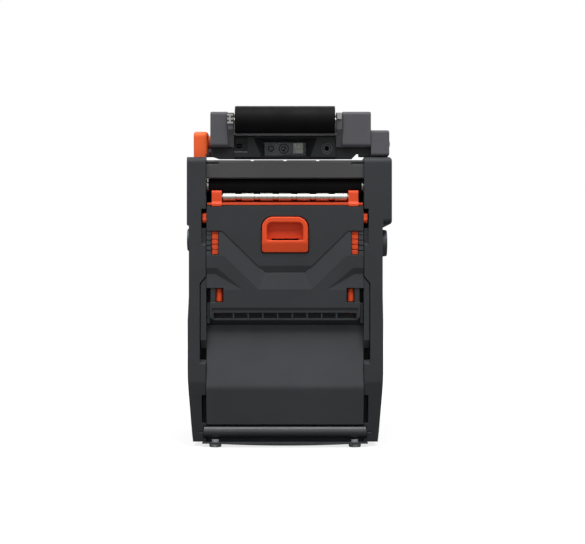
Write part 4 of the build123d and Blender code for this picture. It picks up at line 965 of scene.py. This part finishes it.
@dataclass(frozen=True)
class ScrewGroup:
    """Screws of one size that face the same way, with the middle of each one's seat."""

    name: str
    places: Iterable[Point]
    axis: Axis
    sign: float
    radius: float
    height: float
    body: Body

    # The head's round outline, its hexagonal socket and the socket's floor, as shares of its size.
    outline: Profile = ((1.0, 0.0), (1.0, 0.55), (0.88, 0.95), (0.7, 1.0))
    socket_share: float = 0.5
    floor_share: float = 0.1
    steps: int = 36

    def mesh(self) -> Mesh:
        """The heads of all its screws as one mesh."""
        return merged([self.head(spot(*place)) for place in self.places])

    def head(self, centre: Vector) -> Mesh:
        """A screw's head with its hexagonal socket.

        Args:
            centre: the middle of the head's seat.

        Returns:
            The mesh.
        """
        mesh = bmesh.new()
        along, across, third = directions(self.axis)
        out = along * self.sign
        radius, height = self.radius * MM, self.height * MM
        rings = []
        for wide, high in self.outline:
            middle = centre + out * (high * height)
            rings.append(ring_of(mesh, middle, across, third, [wide * radius] * self.steps))
        socket = [self.hexagon(turn) * self.socket_share * radius for turn in turns(self.steps)]
        for high in (1.0, self.floor_share):
            rings.append(ring_of(mesh, centre + out * (high * height), across, third, socket))
        rings.append([mesh.verts.new(centre + out * (self.floor_share * height))])
        skin(mesh, rings)
        return mesh

    def hexagon(self, turn: float) -> float:
        """How far a hexagon reaches in one direction, as a share of how far its corners reach."""
        sector = math.pi / 3
        return math.cos(sector / 2) / math.cos((turn % sector) - sector / 2)


@dataclass
class Screws:
    """The screws that hold the covers: on the frames, the head and the arm, and under the base."""

    workshop: Workshop
    frame_r: float = 2.4
    frame_high: float = 0.9
    frame_ys: tuple[float, float] = (-44.0, 38.0)
    right_rows: Profile = ((56.7, 98.0), (57.0, 58.0))
    left_rows: Profile = ((-55.8, 98.0), (-56.5, 58.0))
    base_z: float = 2.2
    base_high: float = 0.8
    base_rows: Profile = (
        (-38.0, -34.0), (-38.0, 24.0), (38.0, -34.0), (38.0, 24.0), (-24.0, 66.0), (24.0, 66.0)
    )
    arm: tuple[Point, ...] = ((31.0, 62.0, 14.0), (31.0, 100.0, 14.0))
    arm_r: float = 1.8
    cover: tuple[Point, ...] = ((60.7, -52.0, 177.0), (60.7, -22.0, 177.0))
    ear: tuple[Point, ...] = ((-43.4, -34.0, 185.0), (-43.4, -26.0, 185.0))
    head_r: float = 1.6
    flat_high: float = 0.6

    def build(self) -> None:
        """Makes the pieces and puts them in place."""
        right = [(x, y, z) for y in self.frame_ys for x, z in self.right_rows]
        left = [(x, y, z) for y in self.frame_ys for x, z in self.left_rows]
        under = [(x, y, self.base_z) for x, y in self.base_rows]
        frame_r, high, flat = self.frame_r, self.frame_high, self.flat_high
        groups = [
            ScrewGroup("right_frame_screws", right, Axis.X, 1.0, frame_r, high, Body.ROOT),
            ScrewGroup("left_frame_screws", left, Axis.X, -1.0, frame_r, high, Body.ROOT),
            ScrewGroup("base_screws", under, Axis.Z, -1.0, frame_r, self.base_high, Body.ROOT),
            ScrewGroup("arm_screws", self.arm, Axis.X, 1.0, self.arm_r, flat, Body.ROOT),
            ScrewGroup("head_cover_screws", self.cover, Axis.X, 1.0, self.head_r, flat, Body.HEAD),
            ScrewGroup("ear_screws", self.ear, Axis.X, -1.0, self.head_r, flat, Body.HEAD),
        ]
        for group in groups:
            self.workshop.fit(group.name, group.mesh(), "screw_dark", group.body)


@dataclass
class GripDetails:
    """The ribs round the back of the grip and the louvres on the rear wall."""

    workshop: Workshop
    grip_low_z: float = 50.0
    grip_rise: float = 30.0
    grip_half: float = 15.0
    grip_growth: float = 0.5
    grip_waist: float = 0.25
    grip_y: float = 98.0
    corner_r: float = 11.0
    corner_steps: int = 10
    rib_count: int = 7
    rib_pitch: float = 5.0
    rib_low_z: float = 43.0
    rib_r: float = 0.9
    rib_ahead: float = 4.0
    rib_steps: int = 10
    louvre_count: int = 8
    louvre_pitch: float = 5.0
    louvre_low_z: float = 58.0
    louvre_half: float = 24.0
    louvre_tall: float = 3.0
    louvre_lip: float = 0.6
    louvre_proud: float = 1.4
    louvre_root: float = 0.2
    louvre_edge: float = 0.15
    wall_y: float = 50.0

    def build(self) -> None:
        """Makes the pieces and puts them in place."""
        ribs = [self.rib(self.rib_low_z + self.rib_pitch * index) for index in range(self.rib_count)]
        self.workshop.fit("grip_ribs", merged(ribs), "grip_rubber", Body.ROOT)
        heights = [self.louvre_low_z + self.louvre_pitch * index for index in range(self.louvre_count)]
        blades = [self.louvre(z) for z in heights]
        self.workshop.fit("rear_louvres", merged(blades), "charcoal_body", Body.ROOT)

    def section(self, z: float) -> tuple[float, float]:
        """The grip's section at one height.

        Args:
            z: the height.

        Returns:
            Its half width, which is its half depth too, and its middle's y.
        """
        share = (z - self.grip_low_z) / self.grip_rise
        waist = self.grip_waist * max(0.0, 1 - (2 * share - 1) ** 2)
        growth = self.grip_growth * share
        return self.grip_half + growth - waist, self.grip_y + growth

    def rib(self, z: float) -> Mesh:
        """One rib round the back half of the grip.

        Args:
            z: its height.

        Returns:
            The mesh.
        """
        half, middle = self.section(z)
        straight, corner, steps = half - self.corner_r, self.corner_r, self.corner_steps
        points = [spot(half, middle - self.rib_ahead, z)]
        for side in (1, -1):
            for step in range(steps + 1):
                turn = math.pi / 2 * (step / steps if side > 0 else 1 - step / steps)
                x, y = straight + corner * math.cos(turn), middle + straight + corner * math.sin(turn)
                points.append(spot(side * x, y, z))
        points.append(spot(-half, middle - self.rib_ahead, z))
        return tube(points, self.rib_r, self.rib_steps)

    def louvre(self, z: float) -> Mesh:
        """One sloping blade on the rear wall.

        Args:
            z: the height of its lower edge.

        Returns:
            The mesh.
        """
        mesh = bmesh.new()
        inside, outside = self.wall_y - self.louvre_root, self.wall_y + self.louvre_proud
        lip_z, top_z = z + self.louvre_lip, z + self.louvre_tall
        outline = [(inside, z), (outside, z), (outside, lip_z), (inside, top_z)]
        ends = (-self.louvre_half, self.louvre_half)
        rings = [[mesh.verts.new(spot(x, y, height)) for y, height in outline] for x in ends]
        skin(mesh, rings)
        close_ends(mesh, rings)
        rounded(mesh, self.louvre_edge * MM)
        return mesh


@dataclass
class ConsoleDetails:
    """The dark screen under the display's window and the raised shapes on the keys."""

    workshop: Workshop
    display_y: float = 67.0
    screen_half_x: float = 22.0
    screen_half_s: float = 9.6
    screen_low: float = 0.05
    screen_high: float = 0.2
    key_y: float = 98.0
    key_x: float = 11.5
    cap_top: float = 2.8
    mark_sunk: float = 0.05
    mark_proud: float = 0.2
    bar_half_x: float = 1.7
    bar_half_s: float = 0.28
    bar_pitch: float = 1.2
    wedge_steps: int = 5
    wedge_half_x: float = 1.8
    wedge_taper: float = 0.42
    wedge_half_s: float = 0.2
    wedge_start: float = 0.8
    ring_r: float = 1.5
    ring_thick: float = 0.22
    ring_steps: int = 24
    ring_sides: int = 8

    def build(self) -> None:
        """Makes the pieces and puts them in place."""
        fit = self.workshop.fit
        size = (self.screen_half_x, self.screen_half_s)
        screen = self.slab(self.display_y, 0.0, size, (self.screen_low, self.screen_high))
        fit("screen", screen, "screen_dark", Body.ROOT)
        proud = (self.cap_top - self.mark_sunk, self.cap_top + self.mark_proud)
        size = (self.bar_half_x, self.bar_half_s)
        shifts = (-self.bar_pitch, 0.0, self.bar_pitch)
        lines = [self.slab(self.key_y + shift, -self.key_x, size, proud) for shift in shifts]
        fit("menu_key_bars", merged(lines), "mark_pale", Body.MENU_KEY)
        wedge = []
        for step in range(self.wedge_steps):
            size = (self.wedge_half_x - self.wedge_taper * step, self.wedge_half_s)
            y = self.key_y + 2 * self.wedge_half_s * step - self.wedge_start
            wedge.append(self.slab(y, 0.0, size, proud))
        fit("feed_key_wedge", merged(wedge), "mark_pale", Body.FEED_KEY)
        fit("power_key_ring", self.key_ring(self.key_x), "mark_pale", Body.POWER_KEY)

    def place(self, y: float, x: float, along: float, out: float) -> Vector:
        """A place on the console's sloping top.

        Args:
            y: where on the slope, in millimetres.
            x: to the right.
            along: further down the slope.
            out: off the surface.

        Returns:
            The place.
        """
        z = CONSOLE_TOP_Z - (y - CONSOLE_START_Y) * math.tan(CONSOLE_SLOPE)
        lean, rise = math.sin(CONSOLE_SLOPE), math.cos(CONSOLE_SLOPE)
        return spot(x, y + along * rise + out * lean, z - along * lean + out * rise)

    def slab(self, y: float, x: float, half: tuple[float, float], heights: tuple[float, float]) -> Mesh:
        """A thin block on the console's slope.

        Args:
            y: its middle on the slope.
            x: its middle to the right.
            half: its half width and its half length down the slope.
            heights: how far its foot and its top lie off the surface.

        Returns:
            The mesh.
        """
        mesh = bmesh.new()
        wide, long = half
        corners = [(-wide, -long), (wide, -long), (wide, long), (-wide, long)]
        rings = [[mesh.verts.new(self.place(y, x + a, b, out)) for a, b in corners] for out in heights]
        skin(mesh, rings)
        close_ends(mesh, rings)
        return mesh

    def key_ring(self, x: float) -> Mesh:
        """A raised ring on a key.

        Args:
            x: the key's middle.

        Returns:
            The mesh.
        """
        path = []
        for turn in turns(self.ring_steps) + [2 * math.pi]:
            right, down = x + self.ring_r * math.cos(turn), self.ring_r * math.sin(turn)
            path.append(self.place(self.key_y, right, down, self.cap_top))
        return tube(path, self.ring_thick, self.ring_sides)


@dataclass
class BatteryDetails:
    """The contacts on the battery's inner end and the grip lines of its cap."""

    workshop: Workshop
    contact: Bar = Bar((-1.5, 58.15, 12.0), (1.5, 58.6, 19.5), 0.1)
    contact_places: tuple[float, ...] = (-12.0, -4.0, 4.0, 12.0)
    line: Bar = Bar((-5.0, 115.85, 0.0), (5.0, 116.3, 0.7), 0.15)
    line_side: float = 16.0
    line_heights: tuple[float, ...] = (11.0, 13.0, 15.0, 17.0, 19.0)

    def build(self) -> None:
        """Makes the pieces and puts them in place."""
        contacts = bars([self.contact.moved(x) for x in self.contact_places])
        self.workshop.fit("battery_contacts", contacts, "contact_gold", Body.BATTERY)
        sides = (-self.line_side, self.line_side)
        lines = bars([self.line.moved(x, z) for x in sides for z in self.line_heights])
        self.workshop.fit("battery_cap_lines", lines, "black_inner", Body.BATTERY)


@dataclass(frozen=True)
class Lamp:
    """A soft rectangular lamp, with its place and sizes in metres and its power in watts."""

    name: str
    place: Point
    width: float
    height: float
    power: float

    def hang(self, aim: Vector) -> None:
        """Adds the lamp to the scene.

        Args:
            aim: the place that it points at.
        """
        data = bpy.data.lights.new(self.name, "AREA")
        data.shape = "RECTANGLE"
        data.size, data.size_y = self.width, self.height
        data.energy = self.power
        lamp = bpy.data.objects.new(self.name, data)
        lamp.location = self.place
        lamp.rotation_euler = (aim - Vector(self.place)).to_track_quat("-Z", "Y").to_euler()
        bpy.context.scene.collection.objects.link(lamp)


@dataclass
class Studio:
    """The floor, the light and the camera of the photograph."""

    ambient: float = 0.12
    ambient_colour: Colour = (0.96, 0.98, 1.0, 1.0)
    floor_half: float = 3.0
    floor_glow: float = 0.78
    floor_fade: tuple[float, float] = (0.25, 1.1)
    floor_tones: tuple[float, float] = (0.23, 0.25)
    floor_roughness: float = 0.9
    floor_blotch_scale: float = 8.0
    aim: Point = (0.0, 0.0, 0.1)
    lamps: tuple[Lamp, ...] = (
        Lamp("overhead", (0.0, -0.5, 1.05), 1.2, 0.8, 19.0),
        Lamp("front fill", (0.0, -1.5, 0.45), 1.4, 0.8, 2.2),
        Lamp("back", (0.2, 1.1, 0.8), 0.9, 0.6, 6.0),
        Lamp("side", (-1.25, 0.25, 0.75), 0.8, 0.8, 4.0),
        Lamp("side", (1.25, 0.25, 0.75), 0.8, 0.8, 4.0),
    )

    def build(self) -> None:
        """Sets up the whole picture."""
        bpy.context.scene.view_settings.view_transform = "Standard"
        self.world()
        self.floor()
        for lamp in self.lamps:
            lamp.hang(Vector(self.aim))
        self.camera()

    def world(self) -> None:
        """A white surround for the eye and for reflections, and a softer one that lights."""
        world = bpy.data.worlds.new("white surround")
        world.use_nodes = True
        nodes, links = world.node_tree.nodes, world.node_tree.links
        nodes.clear()
        output = nodes.new("ShaderNodeOutputWorld")
        mix = nodes.new("ShaderNodeMixShader")
        path = nodes.new("ShaderNodeLightPath")
        seen = path.outputs["Is Camera Ray"]
        for ray in ("Is Glossy Ray", "Is Transmission Ray"):
            either = nodes.new("ShaderNodeMath")
            either.operation = "MAXIMUM"
            links.new(seen, either.inputs[0])
            links.new(path.outputs[ray], either.inputs[1])
            seen = either.outputs["Value"]
        links.new(seen, mix.inputs["Fac"])
        for place, colour, strength in ((1, self.ambient_colour, self.ambient), (2, WHITE, 1.0)):
            background = nodes.new("ShaderNodeBackground")
            background.inputs["Color"].default_value = colour
            background.inputs["Strength"].default_value = strength
            links.new(background.outputs["Background"], mix.inputs[place])
        links.new(mix.outputs["Shader"], output.inputs["Surface"])
        bpy.context.scene.world = world

    def floor(self) -> None:
        """A pale floor that is white where nothing shades it."""
        mesh = bmesh.new()
        half = self.floor_half
        corners = [(-half, -half), (half, -half), (half, half), (-half, half)]
        mesh.faces.new([mesh.verts.new((x, y, 0.0)) for x, y in corners])
        data = bpy.data.meshes.new("floor")
        mesh.to_mesh(data)
        mesh.free()
        floor = bpy.data.objects.new("floor", data)
        bpy.context.scene.collection.objects.link(floor)
        data.materials.append(self.floor_finish())

    def floor_finish(self) -> bpy.types.Material:
        """The floor's material, which glows for the eye and grows to full white with distance.

        Returns:
            The material.
        """
        graph = Graph("white floor")
        dark, pale = [(tone, tone, tone, 1.0) for tone in self.floor_tones]
        blotch = graph.ranged(graph.noise(self.floor_blotch_scale, 2.0))
        graph.feed("Base Color", graph.blend(blotch, dark, pale))
        graph.fix("Roughness", self.floor_roughness)
        graph.fix("Specular IOR Level", 0.0)
        away = graph.add("ShaderNodeVectorMath", operation="LENGTH")
        graph.join(graph.add("ShaderNodeTexCoord").outputs["Object"], away.inputs[0])
        glow = graph.ranged(away.outputs["Value"], self.floor_glow, 1.0, self.floor_fade)
        seen = graph.add("ShaderNodeLightPath").outputs["Is Camera Ray"]
        graph.fix("Emission Color", WHITE)
        graph.feed("Emission Strength", graph.times(seen, glow))
        return graph.material

    def camera(self) -> None:
        """The level camera in front of the door."""
        data = bpy.data.cameras.new("camera")
        data.sensor_width = SENSOR_MM
        data.lens = SENSOR_MM * CAMERA_DISTANCE / VIEW_WIDTH
        data.clip_start, data.clip_end = 0.01, 20.0
        camera = bpy.data.objects.new("camera", data)
        camera.location = (CAMERA_X, FRONT_PLANE_Y - CAMERA_DISTANCE, CAMERA_Z)
        camera.rotation_euler = (math.radians(90), 0, 0)
        bpy.context.scene.collection.objects.link(camera)
        bpy.context.scene.camera = camera


def main() -> None:
    """Builds the picture piece by piece."""
    logging.basicConfig(level=logging.INFO, format="%(message)s")
    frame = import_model()
    finishes = Finishes()
    finishes.dress_frame(frame)
    workshop = Workshop(finishes)
    for fittings in (
        ScannerDetails, SocketDetails, HeadDetails, Screws, GripDetails, ConsoleDetails, BatteryDetails
    ):
        fittings(workshop).build()
    Studio().build()
    bpy.context.view_layer.update()


if __name__ == "__main__":
    main()
